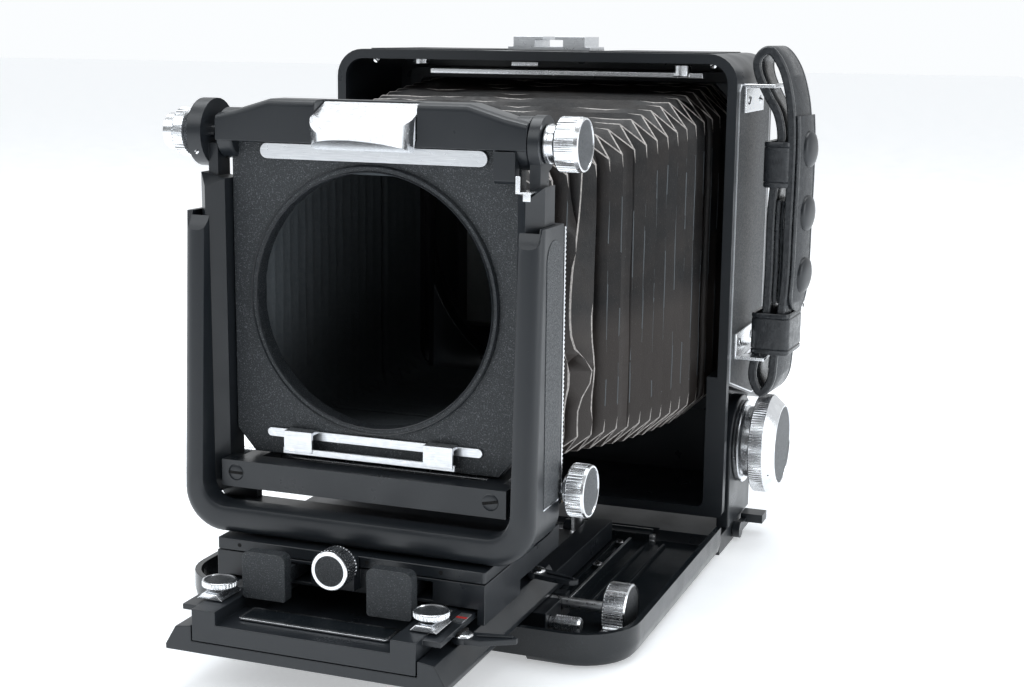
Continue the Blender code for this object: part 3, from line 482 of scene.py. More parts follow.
def soften(obj, width, segments=2, angle=28):
    """Rounds a hard-edged mesh's edges, so that they catch the light as machined edges do."""
    bevel = obj.modifiers.new("edges", "BEVEL")
    bevel.width = width * MM
    bevel.segments = segments
    bevel.limit_method = "ANGLE"
    bevel.angle_limit = math.radians(angle)
    bevel.harden_normals = False
    bevel.use_clamp_overlap = True
    weighted = obj.modifiers.new("normals", "WEIGHTED_NORMAL")
    weighted.keep_sharp = False
    weighted.weight = 60


def make(name, bm, materials, body, replaces=(), edge=0.0, angle=32, turn_out=True):
    """Finishes a mesh drawn in millimetres as a piece that moves with a body."""
    if turn_out:
        bmesh.ops.recalc_face_normals(bm, faces=bm.faces)
    bmesh.ops.transform(bm, matrix=Matrix.Scale(MM, 4), verts=bm.verts)
    bmesh.ops.transform(bm, matrix=Matrix.Translation(ORIGIN), verts=bm.verts)
    mesh = bpy.data.meshes.new(name)
    bm.to_mesh(mesh)
    bm.free()
    obj = bpy.data.objects.new(name, mesh)
    bpy.context.scene.collection.objects.link(obj)
    for material in materials:
        mesh.materials.append(material)
    smooth(obj, angle)
    if edge:
        soften(obj, edge)
    if body:
        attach(obj, body)
    if replaces:
        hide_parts(*replaces)
    return obj


def make_blocks(name, blocks, materials, body, edge=0.0):
    """A piece made of straight blocks. blocks: (x, y, z, material), the first three as (low, high)."""
    bm = bmesh.new()
    for x, y, z, material in blocks:
        add_block(bm, x, y, z, material)
    return make(name, bm, materials, body, edge=edge)


def solid_cut(obj, name, bm):
    """Takes a helper solid out of a mesh for good, and deletes the helper."""
    cutter = make(name, bm, (PAINT,), None)
    modifier = obj.modifiers.new("cut", "BOOLEAN")
    modifier.operation = "DIFFERENCE"
    modifier.object = cutter
    modifier.solver = "EXACT"
    bpy.context.view_layer.update()
    graph = bpy.context.evaluated_depsgraph_get()
    cut_mesh = bpy.data.meshes.new_from_object(obj.evaluated_get(graph))
    obj.modifiers.remove(modifier)
    obj.data = cut_mesh
    bpy.data.objects.remove(cutter, do_unlink=True)


# ---------------------------------------------------------------- CAD nodes that stay


def dress(node, material, edge=0.35):
    """A CAD node that keeps its shape: its material, its welded facets and softened edges."""
    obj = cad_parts[node]
    obj.data.materials.clear()
    obj.data.materials.append(material)
    weld = obj.modifiers.new("weld", "WELD")
    weld.merge_threshold = 1e-6
    flat = obj.modifiers.new("facets", "DECIMATE")
    flat.decimate_type = "DISSOLVE"
    flat.angle_limit = math.radians(0.6)
    if edge:
        soften(obj, edge, 3)


def dress_cad_nodes():
    painted = {
        "base_plate": 0.5,
        "tilt_bracket_left": 0.6,
        "tilt_bracket_right": 0.6,
        "base_lever": 0.5,
        "bed_rail_base": 0.3,
        "track_slide": 0.35,
        "track_channel": 0.3,
        "carriage_base": 0.4,
        "shift_plate": 0.4,
        "riser_crossbar": 0.5,
        "post_left": 0.4,
        "post_right": 0.4,
        "bellows_front_frame": 0.4,
        "body_shell": 0.6,
        "bellows_rear_frame": 0.4,
        "back_frame": 0.8,
        "ground_glass_frame": 0.6,
        "back_ring": 0.2,
    }
    for node, edge in painted.items():
        dress(node, PAINT, edge)
    for node, edge in (("grip_left", 0.9), ("grip_right", 0.9), ("lens_panel", 0.3)):
        dress(node, CRACKLE, edge)
    for node in ("strap_bracket_top", "strap_bracket_bottom", "latch_bar", "release_button"):
        dress(node, CHROME, 0.35)
    for node in ("index_block_left", "index_block_right"):
        dress(node, CHROME, 0.3)
    for node in ("bed_hinge_pin", "focus_shaft", "upper_board_bar", "lower_board_rest", "accessory_shoe"):
        dress(node, STEEL, 0.15)
    for node in ("tilt_lock_plate_left", "tilt_lock_plate_right", "bed_post"):
        dress(node, STEEL, 0.25)
    dress("bed_tray", GLOSS, 0.5)
    dress("ground_glass", GLASS, 0.15)
    dress("tripod_socket", BRASS, 0.3)


# ---------------------------------------------------------------- knobs


def knob(name, node, body, axis, centre, sign, hub, rim, inlay, inlay_material):
    """A knurled knob.

    hub: plain (radius, distance) entries up to the grip. rim: (grip radius, start, knurl end, face).
    inlay: (ring outer radius, inlay radius). Distances run outwards along the axis from its zero.
    """
    radius, start, knurl_end, face = rim
    ring_r, inlay_r = inlay
    teeth = round(math.tau * radius / 1.25)
    profile = [(r, sign * d, 0, False) for r, d in hub]
    profile += [
        (radius - 0.7, sign * start, 0, False),
        (radius - 0.15, sign * (start + 0.5), 0, False),
        (radius, sign * (start + 0.6), 0, True),
        (radius, sign * (knurl_end - 0.1), 0, True),
        (radius - 0.1, sign * knurl_end, 0, False),
        (ring_r + 0.25, sign * (face - 0.15), 0, False),
        (ring_r, sign * face, 0, False),
        (inlay_r + 0.1, sign * face, 0, False),
        (inlay_r, sign * (face - 0.35), 0, False),
        (inlay_r * 0.8, sign * (face - 0.25), 1, False),
        (inlay_r * 0.45, sign * (face - 0.15), 1, False),
        (0, sign * (face - 0.1), 1, False),
    ]
    bm = bmesh.new()
    add_turned(bm, axis, centre, profile, teeth=teeth, depth=0.38)
    return make(name, bm, (CHROME, inlay_material), body, (node,), angle=28)


def make_knobs():
    tilt_y, tilt_z = 33, 43.5
    for name, side in SIDES:
        hub = [(3.4, 82), (3.4, 90.2), (17.9, 90.2), (18, 90.5), (18, 92.0), (17.7, 92.4), (16.0, 92.5)]
        hub += [(15.5, 93.2), (15.5, 96.4), (14.0, 96.6)]
        knob(
            f"tilt_knob_{name}_grip", f"tilt_knob_{name}", f"tilt_knob_{name}", "X", (tilt_y, tilt_z), side,
            hub, (21.5, 97.2, 103.4, 108.2), (17.2, 16.6), INLAY_GREY,
        )
    bm = bmesh.new()
    for _, side in SIDES:
        add_focus_knob(bm, centre_of("focus_shaft"), side)
    pair = ("focus_knob_left", "focus_knob_right")
    make("focus_knob_pair", bm, (CHROME, INLAY_BLACK), "focus_shaft", pair, angle=28)

    centre = centre_of("front_tilt_knob_right")
    hub = [(2.4, 55.2), (2.4, 62.3), (6.4, 62.3), (6.6, 62.6), (6.6, 63.6), (6.2, 63.7), (6.2, 65.6)]
    hub += [(5.2, 65.8)]
    knob(
        "front_tilt_grip_right", "front_tilt_knob_right", "front_knob_right", "X", centre, 1,
        hub, (9.1, 66.6, 73.7, 75.2), (8.6, 8.1), INLAY_GREY,
    )
    hub = [(2.4, 55.2), (2.4, 67.7), (5.9, 67.7), (6, 68), (6, 70.6), (5.2, 70.7)]
    knob(
        "front_tilt_grip_left", "front_tilt_knob_left", "front_knob_left", "X", centre, -1,
        hub, (8.6, 71.0, 75.6, 76.2), (7.6, 7.3), INLAY_BLACK,
    )
    bm = bmesh.new()
    add_turned(bm, "X", centre, plain([(6.4, -76.0), (6.4, -80.4), (5.6, -81.0), (4.2, -80.8), (0, -80.7)]))
    make("front_tilt_cap_left", bm, (CHROME,), "front_knob_left", angle=28)

    centre = centre_of("rise_knob")
    hub = [(2.1, -62), (2.1, 67.2), (5.3, 67.3), (5.5, 67.6), (5.5, 68.5), (5.0, 68.6)]
    knob(
        "rise_grip", "rise_knob", "rise_knob", "X", centre, 1,
        hub, (9.3, 69.2, 75.2, 76.2), (8.8, 8.2), INLAY_GREY,
    )
    knob(
        "shift_grip", "shift_knob", "shift_knob", "Y", (0, 41), -1,
        [(3.3, 179.0), (3.3, 179.5)], (6.9, 179.6, 186.0, 187.4), (6.5, 5.3), INLAY_BLACK,
    )
    for name, side in SIDES:
        knob(
            f"index_grip_{name}", f"index_screw_{name}", f"index_{name}", "Z", (side * 39.5, -192), 1,
            [(4.4, 31.75), (4.4, 32.0)], (6, 32.1, 34.2, 34.6), (5.6, 5.1), INLAY_BLACK,
        )
    set_screws()


def add_focus_knob(bm, centre, side):
    """One focus knob: broad knurling, a bright ring and a slightly domed grained end."""
    radius = 10.0
    teeth = round(math.tau * radius / 1.3)
    stations = [
        (6.0, 73.3, 0, False),
        (9.4, 73.6, 0, False),
        (9.9, 74.1, 0, False),
        (10.0, 74.2, 0, True),
        (10.0, 81.8, 0, True),
        (9.9, 81.9, 0, False),
        (9.4, 82.4, 0, False),
        (9.1, 82.4, 0, False),
        (8.9, 82.2, 0, False),
        (6.5, 82.9, 1, False),
        (3.2, 83.3, 1, False),
        (0, 83.5, 1, False),
    ]
    profile = [(r, side * d, m, k) for r, d, m, k in stations]
    add_turned(bm, "X", centre, profile, teeth=teeth, depth=0.4)


def set_screws():
    """The small grub screw holes in the knobs' bright rims, drawn as near-black balls of painted shade."""
    spots = (
        ("rise_knob", "rise_knob", 75.4, 8.75, -2.2),
        ("front_knob_right", "front_tilt_knob_right", 74.2, 8.6, 1.2),
        ("tilt_knob_right", "tilt_knob_right", 105.6, 19.3, -2.6),
    )
    for body, node, x, radius, angle in spots:
        centre = Vector((0, *centre_of(node)))
        spot = centre + Vector((x, radius * math.cos(angle), radius * math.sin(angle)))
        bm = bmesh.new()
        # painted shade: a near-black ball half sunk in the rim stands for the hole
        bmesh.ops.create_icosphere(bm, subdivisions=2, radius=0.42, matrix=Matrix.Translation(spot))
        make(f"{body}_grub_screw", bm, (SHADE_AND_INK,), body)


# ---------------------------------------------------------------- bellows

BELLOWS_ENDS = (-142.9, 56.0)
PLEATS = 20
PLEAT_DEPTH = 5.0
FOLD_EDGE = 0.8  # width of the rounded, rubbed edge of a fold
BELLOWS_SKIN = 0.5
WAVER = (0.004, 0.55, 0.35)  # how unevenly a fold runs: a share of x, then millimetres of y and z
SAGGING_FOLD = -104  # the fold behind the right arm that has lost its crease
BELLOWS_STAGES = (
    ("lens_panel", "riser", -142.9, -117),
    ("riser", "swing", -117, -107),
    ("swing", "shift", -107, -93),
    ("shift", "carriage", -93, -87),
    ("carriage", "track", -87, -64),
    ("track", "bed", -64, 9),
    ("bed", "base", 9, 14),
    ("base", "rear_body", 14, 56),
)


def bellows_section(y):
    """Half width, low z, high z and corner chamfer of the bellows at this depth."""
    front, rear = BELLOWS_ENDS
    share = (y - front) / (rear - front)
    swell = 1 - (1 - share) ** 1.7
    low = 72.5 - 20.5 * swell + 5 * share**4
    high = 173 + 25 * (1 - (1 - share) ** 1.3)
    return 50.5 + 28 * swell, low, high, 6.5 + 5 * share


def sag(y, z):
    """How far the slack fold leans to the front, and how far it then bulges out below."""
    near = math.exp(-(((y - SAGGING_FOLD) / 8) ** 2))
    lean = math.exp(-(((z - 124) / 26) ** 2))
    bulge = math.exp(-(((z - 97) / 8) ** 2))
    return near * (9.0 * bulge - 11.0 * lean), near * 4.0 * bulge


def pleat_loop(k, count):
    """One fold line: out on the sides where it is in on the top and bottom, and the other way round."""
    front, rear = BELLOWS_ENDS
    y = front + (rear - front) * k / count
    half, low, high, chamfer = bellows_section(y)
    depth = 0 if k in (0, count) else PLEAT_DEPTH
    side = half - (depth if k % 2 else 0)
    flat = 0 if k % 2 else depth
    steps = 20
    loop = []
    for turn in range(4):
        upright = turn % 2 == 0
        for step in range(steps + 1):
            t = step / steps
            if upright:
                along = (low + chamfer) + (high - low - 2 * chamfer) * t
                point = [side, y, along] if turn == 0 else [-side, y, low + high - along]
            else:
                along = (half - chamfer) * (1 - 2 * t)
                point = [along, y, high - flat] if turn == 1 else [-along, y, low + flat]
            loop.append(Vector(point))
    for point in loop:
        seat = point * 0.03
        soft = depth / PLEAT_DEPTH
        if point.x > 40:
            forward, outward = sag(y, point.z)
            point.y += soft * forward
            point.x += soft * outward
        point.y += soft * WAVER[1] * noise.noise(seat + Vector((k * 3.7, 0, 0)))
        point.x *= 1 + soft * WAVER[0] * noise.noise(seat * 2 + Vector((0, k * 5.1, 0)))
        point.z += soft * WAVER[2] * noise.noise(seat * 3 + Vector((0, 0, k * 4.3)))
    return loop


def pleated_surface():
    """The folded outer face, with the fold edges rounded and given the worn material."""
    bm = bmesh.new()
    count = 2 * PLEATS
    rings = [[bm.verts.new(point) for point in pleat_loop(k, count)] for k in range(count + 1)]
    size = len(rings[0])
    corner = size // 4
    for k in range(count):
        near, far = rings[k], rings[k + 1]
        for i in range(size):
            j = (i + 1) % size
            if i % corner != corner - 1:
                bm.faces.new((near[i], far[i], far[j], near[j]))
                continue
            out_side = (k % 2 == 0) == ((i // corner) % 2 == 0)
            if out_side:
                bm.faces.new((near[i], far[i], far[j]))
                bm.faces.new((near[i], far[j], near[j]))
            else:
                bm.faces.new((near[i], far[i], near[j]))
                bm.faces.new((far[i], far[j], near[j]))
    ridges = []
    for k in range(1, count):
        ring = rings[k]
        for i in range(size):
            j = (i + 1) % size
            upright = (i // corner) % 2 == 0
            if i % corner == corner - 1 or (k % 2 == 0) != upright:
                continue
            ridges.append(bm.edges.get((ring[i], ring[j])))
        for i in range(corner - 1, size, corner):
            j = (i + 1) % size
            upright = (i // corner) % 2 == 0
            apex = ring[i] if (k % 2 == 0) == upright else ring[j]
            other = j if apex is ring[i] else i
            for neighbour in (rings[k - 1], rings[k + 1]):
                edge = bm.edges.get((apex, neighbour[other]))
                if edge:
                    ridges.append(edge)
    ridges = list({edge for edge in ridges if edge})
    bmesh.ops.bevel(
        bm, geom=ridges, offset=FOLD_EDGE, segments=2, profile=0.5, affect="EDGES", material=1,
        clamp_overlap=True,
    )
    sample = max(bm.faces, key=lambda face: face.calc_center_median().x)
    bmesh.ops.recalc_face_normals(bm, faces=bm.faces)
    if sample.normal.x < 0:
        bmesh.ops.reverse_faces(bm, faces=bm.faces)
    return bm


def make_bellows():
    whole = pleated_surface()
    for index, (front_body, rear_body, low, high) in enumerate(BELLOWS_STAGES):
        part = whole.copy()
        for cut_y, facing in ((low, -1), (high, 1)):
            if cut_y in BELLOWS_ENDS:
                continue
            everything = [*part.verts, *part.edges, *part.faces]
            bmesh.ops.bisect_plane(
                part, geom=everything, plane_co=(0, cut_y, 0), plane_no=(0, facing, 0), clear_outer=True
            )
        name = f"bellows_folds_{index + 1}"
        materials = (BELLOWS, BELLOWS_WORN, CHAMBER_PAINTED_HAZE)
        obj = make(name, part, materials, None, ("bellows",), angle=24, turn_out=False)
        skin = obj.modifiers.new("skin", "SOLIDIFY")
        skin.thickness = BELLOWS_SKIN * MM
        skin.offset = -1
        skin.material_offset = 2
        skin.material_offset_rim = 2
        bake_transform(obj)
    whole.free()


# ---------------------------------------------------------------- screws and small fittings


def add_screw(bm, axis, centre, along, sign, radius, height, turn=0.6, head=0, slot=1):
    """A low domed head on a face, and a thin dark bar on it: the painted shade of its slot."""
    add_turned(bm, axis, centre, dome(along, radius, height, sign, head), sides=24)
    width, reach = radius * 0.17, radius * 0.93
    c, s = math.cos(turn), math.sin(turn)
    corners = [(-reach, -width), (reach, -width), (reach, width), (-reach, width)]
    outline = [(centre[0] + u * c - v * s, centre[1] + u * s + v * c) for u, v in corners]
    # painted shade: the bar stands just proud of the dome where the slot's shadow would be
    low, high = sorted((along + sign * height * 0.35, along + sign * (height + 0.03)))
    add_prism(bm, axis, outline, low, high, slot)


def screws(name, body, spots, head=None):
    """spots: (axis, centre, along, sign, radius, height, turn)."""
    bm = bmesh.new()
    for axis, centre, along, sign, radius, height, turn in spots:
        add_screw(bm, axis, centre, along, sign, radius, height, turn)
    return make(name, bm, (head or CHROME, SHADE_AND_INK), body)


def make_screws():
    screws(
        "crossbar_screws", "riser",
        [("Y", (side * 48.7, 64.2), -164, -1, 3.0, 0.45, 0.1 + side * 0.1) for _, side in SIDES],
        PAINT,
    )
    bed_spots = [("Z", (side * 49.4, y), 5.6, 1, 2.1, 0.9, y) for _, side in SIDES for y in (-13, -45, -96)]
    screws("bed_screws", "bed", bed_spots)
    inner = [("Y", (x, 206.8), 4.0, -1, 1.5, 0.5, x) for x in (-73, 79)]
    screws("rim_screws", "rear_body", inner)
    for name, y, _ in STOPS:
        screws(f"stop_screw_{name}", f"stop_{name}", [("Z", (STOP_PIVOT, y), 25.6, 1, 3.7, 1.3, y)])
    corners = [(sx, sz) for sx in (-1, 1) for sz in (-1, 1)]
    back = [("Y", (sx * 74, LENS_AXIS + sz * 74), 84.0, 1, 2.2, 0.5, sx + sz) for sx, sz in corners]
    screws("back_screws", "revolving_back", back)
    glass = [("Y", (sx * 70.5, LENS_AXIS + sz * 55), 92.0, 1, 1.8, 0.5, sx + 2 * sz) for sx, sz in corners]
    screws("glass_screws", "ground_glass", glass)
    plates = [("X", (y, 192.4), 91.7, 1, 1.9, 0.4, y) for y in (16.5, 37.5)]
    plates += [("X", (y, 91.0), 91.7, 1, 1.9, 0.4, y) for y in (15.0, 36.0)]
    screws("strap_plate_screws", "rear_body", plates)


def make_holes():
    """Small holes drawn as thin discs of painted shade, and grub screws, on the front faces."""
    bm = bmesh.new()
    # painted shade: thin near-black discs on the plate's face stand for the holes
    for x in (-42, 7.6, 35):
        add_turned(bm, "Y", (x, 40.9), plain([(0.75, -173.9), (0.75, -174.04), (0, -174.04)]), sides=16)
    make("shift_plate_holes", bm, (SHADE_AND_INK,), "shift")
    bm = bmesh.new()
    add_screw(bm, "Y", (-64.4, 177.2), -159.0, -1, 0.95, 0.5, 0.8)
    make("ear_grub_screw", bm, (CHROME, SHADE_AND_INK), "riser")


# ---------------------------------------------------------------- base, bed and track


def make_bed_details():
    """Ribs on the bed's floor, the bright slides on two of them and the focus lock's threaded screw."""
    ribs = []
    for side in (-1, 1):
        for x, z in ((46.0, 5.6), (51.8, 6.6), (58.8, 5.2), (66.5, 5.4)):
            ribs.append((sided(side, (x, x + 1.5)), (-104 if x < 55 else -92, -8), (4.0, z), 0))
    make_blocks("bed_ribs", ribs, (GLOSS,), "bed", 0.35)
    slides = [(sided(side, (52.0, 53.1)), (-103, -9), (6.4, 6.8), 0) for side in (-1, 1)]
    make_blocks("bed_slides", slides, (STEEL,), "bed", 0.2)
    bm = bmesh.new()
    centre = centre_of("focus_lock_screw")
    profile = [(2.1, 50), (2.1, 58)]
    x = 58.2
    while x < 66.6:
        profile += [(2.55, x), (3.0, x + 0.3), (3.0, x + 0.45), (2.55, x + 0.75)]
        x += 0.9
    profile += [(2.9, 67.2), (2.2, 68), (0, 68)]
    add_turned(bm, "X", centre, plain(profile), sides=28)
    make("focus_lock_thread", bm, (CHROME,), "focus_lock", ("focus_lock_screw",), angle=20)


def make_track_details():
    """The blank plate, the scale strips and red focus marks, and bright steel lines along the rails that are
    painted highlights of the guides' raised edges.
    """
    bm = bmesh.new()
    add_prism(bm, "Z", rounded((-27.7, 27.7), (-200.5, -189.5), (1.2,) * 4, 4), 24.75, 25.35, 0)
    add_prism(bm, "Z", rounded((-26.7, 26.7), (-199.4, -190.6), (0.8,) * 4, 4), 25.2, 25.4, 1)
    make("nameplate_blank", bm, (CHROME, GLOSS), "track", ("nameplate",), edge=0.12)

    for name, side in SIDES:
        strip = [(sided(side, (33.4, 40.4)), (-183.5, -176.5), (28.9, 29.35), 0)]
        for k in range(6):
            y = -182.8 + k * 1.1
            inner = 35.2 if k % 3 else 33.6
            strip.append((sided(side, (inner, 40.2)), (y, y + 0.22), (29.3, 29.4), 1))
        make_blocks(f"scale_strip_{name}", strip, (STEEL, SHADE_AND_INK), "track")
        across = sided(side, (43.4, 47.2))
        mark = [(across, (-184.6, -176.0), (28.3, 28.75), 0), (across, (-181.0, -179.6), (28.7, 28.82), 1)]
        make_blocks(f"focus_mark_{name}", mark, (STEEL, RED), "track")
    # painted highlights: thin steel strips where the guides' raised edges catch the light
    painted_highlights = [(sided(side, (36.2, 37.2)), (-176, -99.4), (28.9, 29.12), 0) for side in (-1, 1)]
    make_blocks("rail_painted_highlights", painted_highlights, (STEEL,), "track")


def make_stops():
    """The flip-down infinity stops: bent black levers with a raised ridge, under the bright domed screws that
    make_screws adds.
    """
    tip, thick = 66.0, (23.5, 25.4)
    for name, y, bend in STOPS:
        end = y + 4 * bend
        bm = bmesh.new()
        hub = plain([(3.9, 23.4), (3.9, 25.3), (3.5, 25.6), (0, 25.6)])
        add_turned(bm, "Z", (STOP_PIVOT, y), hub, sides=40)
        outline = [(STOP_PIVOT, y - 3.6), (56, y - 3.9 + 1.2 * bend), (63.6, end - 2.2), (tip, end - 0.7)]
        outline += [(tip, end + 0.9), (63.0, end + 2.3), (55, y + 3.9 + 1.2 * bend)]
        outline += [(STOP_PIVOT, y + 3.6)]
        add_prism(bm, "Z", outline, *thick)
        ridge = [(53.2, y - 0.9 + bend), (tip - 1.4, end - 0.5)]
        ridge += [(tip - 1.4, end + 0.5), (53.2, y + 0.9 + bend)]
        add_prism(bm, "Z", ridge, thick[1] - 0.1, 26.05)
        make(f"stop_{name}_shape", bm, (PAINT,), f"stop_{name}", (f"stop_lever_{name}",), edge=0.35)


# ---------------------------------------------------------------- front standard


def u_section(width, front, rear):
    """The arm's section, (distance in from the outside, y): a big round outside, a bevel inside."""
    points = [(u, y) for u, y in arc((4.2, front + 4.2), 4.2, 180, 270, 7)]
    points += [(width - 2.4, front), (width - 0.7, front + 0.8), (width, front + 2.6)]
    points += [(width, rear - 0.7), (width - 0.7, rear), (0.9, rear), (0, rear - 0.9)]
    return points


def u_stations():
    """(outer point, inner point) pairs round the U, from the left arm's top to the right arm's."""
    outer, inner = (66.5, 43.5, 15.0), (57.7, 54.0, 8.0)
    top = 157.0
    pairs = []
    for z in (top, 152, 147, 142, 130, 110, 90, 75, 64):
        pairs.append(((-outer[0], z), (-inner[0], z)))
    steps = 10
    for k in range(steps + 1):
        angle = math.radians(180 + 90 * k / steps)
        c, s = math.cos(angle), math.sin(angle)
        a = (-outer[0] + outer[2] + outer[2] * c, outer[1] + outer[2] + outer[2] * s)
        b = (-inner[0] + inner[2] + inner[2] * c, inner[1] + inner[2] + inner[2] * s)
        pairs.append((a, b))
    for x in (-30, -10):
        pairs.append(((x, outer[1]), (x, inner[1])))
    return pairs + [((-a[0], a[1]), (-b[0], b[1])) for a, b in reversed(pairs)]


def make_u_frame():
    """The swept U, with the riser's guide, the lip under the bellows and the arms' scoops cut into it."""
    bm = bmesh.new()
    rings = []
    for outside, inside in u_stations():
        outside, inside = Vector(outside), Vector(inside)
        across = inside - outside
        width = across.length
        across.normalize()
        rise = max(0.0, (outside.y - 62) / (157 - 62))
        front = -171.5 + 5.5 * rise
        ring = []
        for u, y in u_section(width, front, -143.5):
            spot = outside + across * u
            ring.append(bm.verts.new((spot.x, y, spot.y)))
        rings.append(ring)
    loft(bm, rings)
    obj = make("u_frame_shape", bm, (PAINT,), None, angle=35)
    guide = ("guide_cut", (-64.6, 64.6), (-163, -147), (50, 170))
    lip = ("lip_cut", (-50, 50), (-150, -140), (50, 58))
    for name, x, y, z in (guide, lip):
        tool = bmesh.new()
        add_block(tool, x, y, z)
        solid_cut(obj, name, tool)
    for side in (-1, 1):
        tool = bmesh.new()
        scoop = plain([(14.5, side * 56), (14.5, side * 64.9), (11.0, side * 67.6)])
        add_turned(tool, "X", (-176.4, 161), scoop, 48)
        solid_cut(obj, "scoop_cut", tool)
    obj.data.materials.clear()
    obj.data.materials.append(PAINT)
    smooth(obj, 35)
    soften(obj, 0.35, 2, 35)
    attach(obj, "swing")
    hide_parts("u_frame")


def make_arm_insets():
    """Leather strips let into the arms' outer sides, with an arched top and a bright lower edge."""
    for name, side in SIDES:
        outline = [(-160.8, 63), (-146.4, 63), (-146.4, 148)]
        outline += arc((-153.6, 145.5), 7.2, 20, 160, 10)
        outline += [(-160.8, 146)]
        x = sided(side, (66.3, 66.75))
        bm = bmesh.new()
        add_prism(bm, "X", outline, *x)
        make(f"arm_leather_{name}", bm, (LEATHERETTE,), "swing", edge=0.15)
        bm = bmesh.new()
        add_prism(bm, "X", [(-161.2, 62.3), (-146.0, 62.3), (-146.0, 62.9), (-161.2, 62.9)], *x)
        make(f"arm_trim_{name}", bm, (CHROME,), "swing")


def make_racks():
    """Racks on the arms' rear edges, with real teeth for the rise pinions."""
    low, high = limits("rack_right")
    pitch = 1.5
    for name, side in SIDES:
        outline = [(low.y, low.z), (low.y, high.z)]
        teeth = int((high.z - low.z) / pitch)
        for k in range(teeth, 0, -1):
            z = low.z + (high.z - low.z) * k / teeth
            outline += [(high.y, z - 0.35), (high.y, z - 0.75)]
            outline += [(high.y - 0.7, z - 1.1), (high.y - 0.7, z - pitch)]
        bm = bmesh.new()
        add_prism(bm, "X", outline, *sided(side, (low.x, high.x)))
        make(f"rack_teeth_{name}", bm, (CHROME,), "swing", (f"rack_{name}",))


def make_yoke():
    """The bar over the lens panel with the catch's pocket, a round ear at its left, a barrel at its right."""
    low, high = limits("panel_yoke")
    front, rear, bottom = low.y, high.y, low.z
    bm = bmesh.new()
    stations = [(-57.9, 190.5), (-50, 192.2), (-37, 196), (37, 196), (50, 192.2), (57.9, 190.5)]
    rings = []
    for x, top in stations:
        section = [(front, bottom), (front, top - 2.6), (front + 0.6, top - 0.8), (front + 2.6, top)]
        section += [(rear - 0.8, top), (rear, top - 0.8), (rear, bottom)]
        rings.append([bm.verts.new((x, y, z)) for y, z in section])
    loft(bm, rings)
    bar = make("yoke_bar", bm, (PAINT,), None, ("panel_yoke",), edge=0.0)
    tool = bmesh.new()
    add_block(tool, (-19.0, 19.0), (-165, -149.9), (183.7, 200))
    solid_cut(bar, "pocket_cut", tool)
    smooth(bar, 32)
    soften(bar, 0.35)
    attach(bar, "lens_panel")
    bm = bmesh.new()
    left = plain([(8.2, -51.6), (8.9, -52.3), (8.9, -57.3), (8.4, -57.9)])
    right = plain([(7.6, 45.6), (8.3, 46.3), (8.3, 50.9), (7.9, 51.2), (7.9, 51.8)])
    right += plain([(8.9, 52.3), (8.9, 57.3), (8.4, 57.9)])
    for profile in (left, right):
        add_turned(bm, "X", (-149, 183.5), profile, sides=56)
    block = [(-158.6, 181.0), (-158.6, 171.6), (-157.6, 170.5), (-154.2, 170.5), (-154.2, 181.0)]
    add_prism(bm, "X", block, 46.6, 54.2)
    make("yoke_ears", bm, (PAINT,), "lens_panel", ("panel_yoke",), edge=0.35)
    plate = [((56.2, 57.8), (-163.4, -162.8), (168.6, 173.8), 0)]
    plate += [((56.2, 61.6), (-163.4, -156.0), (168.0, 168.7), 0)]
    plate += [((58.6, 61.2), (-162.9, -162.2), (165.6, 168.5), 0)]
    make_blocks("tilt_click_plate", plate, (CHROME,), "riser", 0.2)


def make_latch():
    """The lens board's catch: a bright half disc that slopes down to a thin lip, set into the yoke."""
    half, front, back, radius, corner = 18.7, -174.5, -150.2, 19.8, 19.4
    seat_y, seat_z = -158.3, 184.0
    crest_y, crest_z, crest_slant = -150.5, 195.2, 0.4537
    lip_y, lip_z, lip_slant = -160, 180, 0.2759

    def slope(y):
        return crest_z + crest_slant * (y - crest_y)

    def under(y):
        return lip_z - lip_slant * (y - lip_y) if y < seat_y else seat_z

    outline = [(half, back), (half, seat_y + 0.01), (half, seat_y - 0.01)]
    outline += reversed(arc((0, front + radius), radius, 180 + corner, 360 - corner, 40))
    outline += [(-half, seat_y - 0.01), (-half, seat_y + 0.01), (-half, back)]
    bm = bmesh.new()
    levels = []
    for height in (under, slope):
        levels.append([])
        for x, y in outline:
            drawn_in = 0.97 if height is under and y < seat_y else 1.0
            levels[-1].append(bm.verts.new((x * drawn_in, y, height(y))))
    low, high = levels
    bridge(bm, low, high)
    count = len(outline)
    for k in range(count // 2):
        other = count - 1 - k
        if other - k < 2:
            continue
        for ring in (low, high):
            corners = [ring[k], ring[k + 1], ring[other - 1], ring[other]]
            if corners[1] is corners[2]:
                corners.pop(1)
            bm.faces.new(corners)
    bmesh.ops.remove_doubles(bm, verts=bm.verts, dist=0.001)
    make("board_latch_wedge", bm, (CHROME,), "board_latch", ("board_latch",), edge=0.3, angle=20)


def make_panel_details():
    """The double ring round the lens hole."""
    sides = 128
    bm = bmesh.new()
    for radius in (44.65, 46.5):
        profile = [(radius, -152.3), (radius, -153.75), (radius + 0.25, -153.95)]
        profile += [(radius + 0.5, -153.75), (radius + 0.5, -152.3)]
        rings = []
        for r, y in profile:
            ring = []
            for k in range(sides):
                angle = math.tau * k / sides
                ring.append(bm.verts.new((r * math.cos(angle), y, LENS_AXIS + r * math.sin(angle))))
            rings.append(ring)
        loft(bm, rings, closed=True)
    make("hole_rings", bm, (PAINT,), "lens_panel", angle=50)


# ---------------------------------------------------------------- body


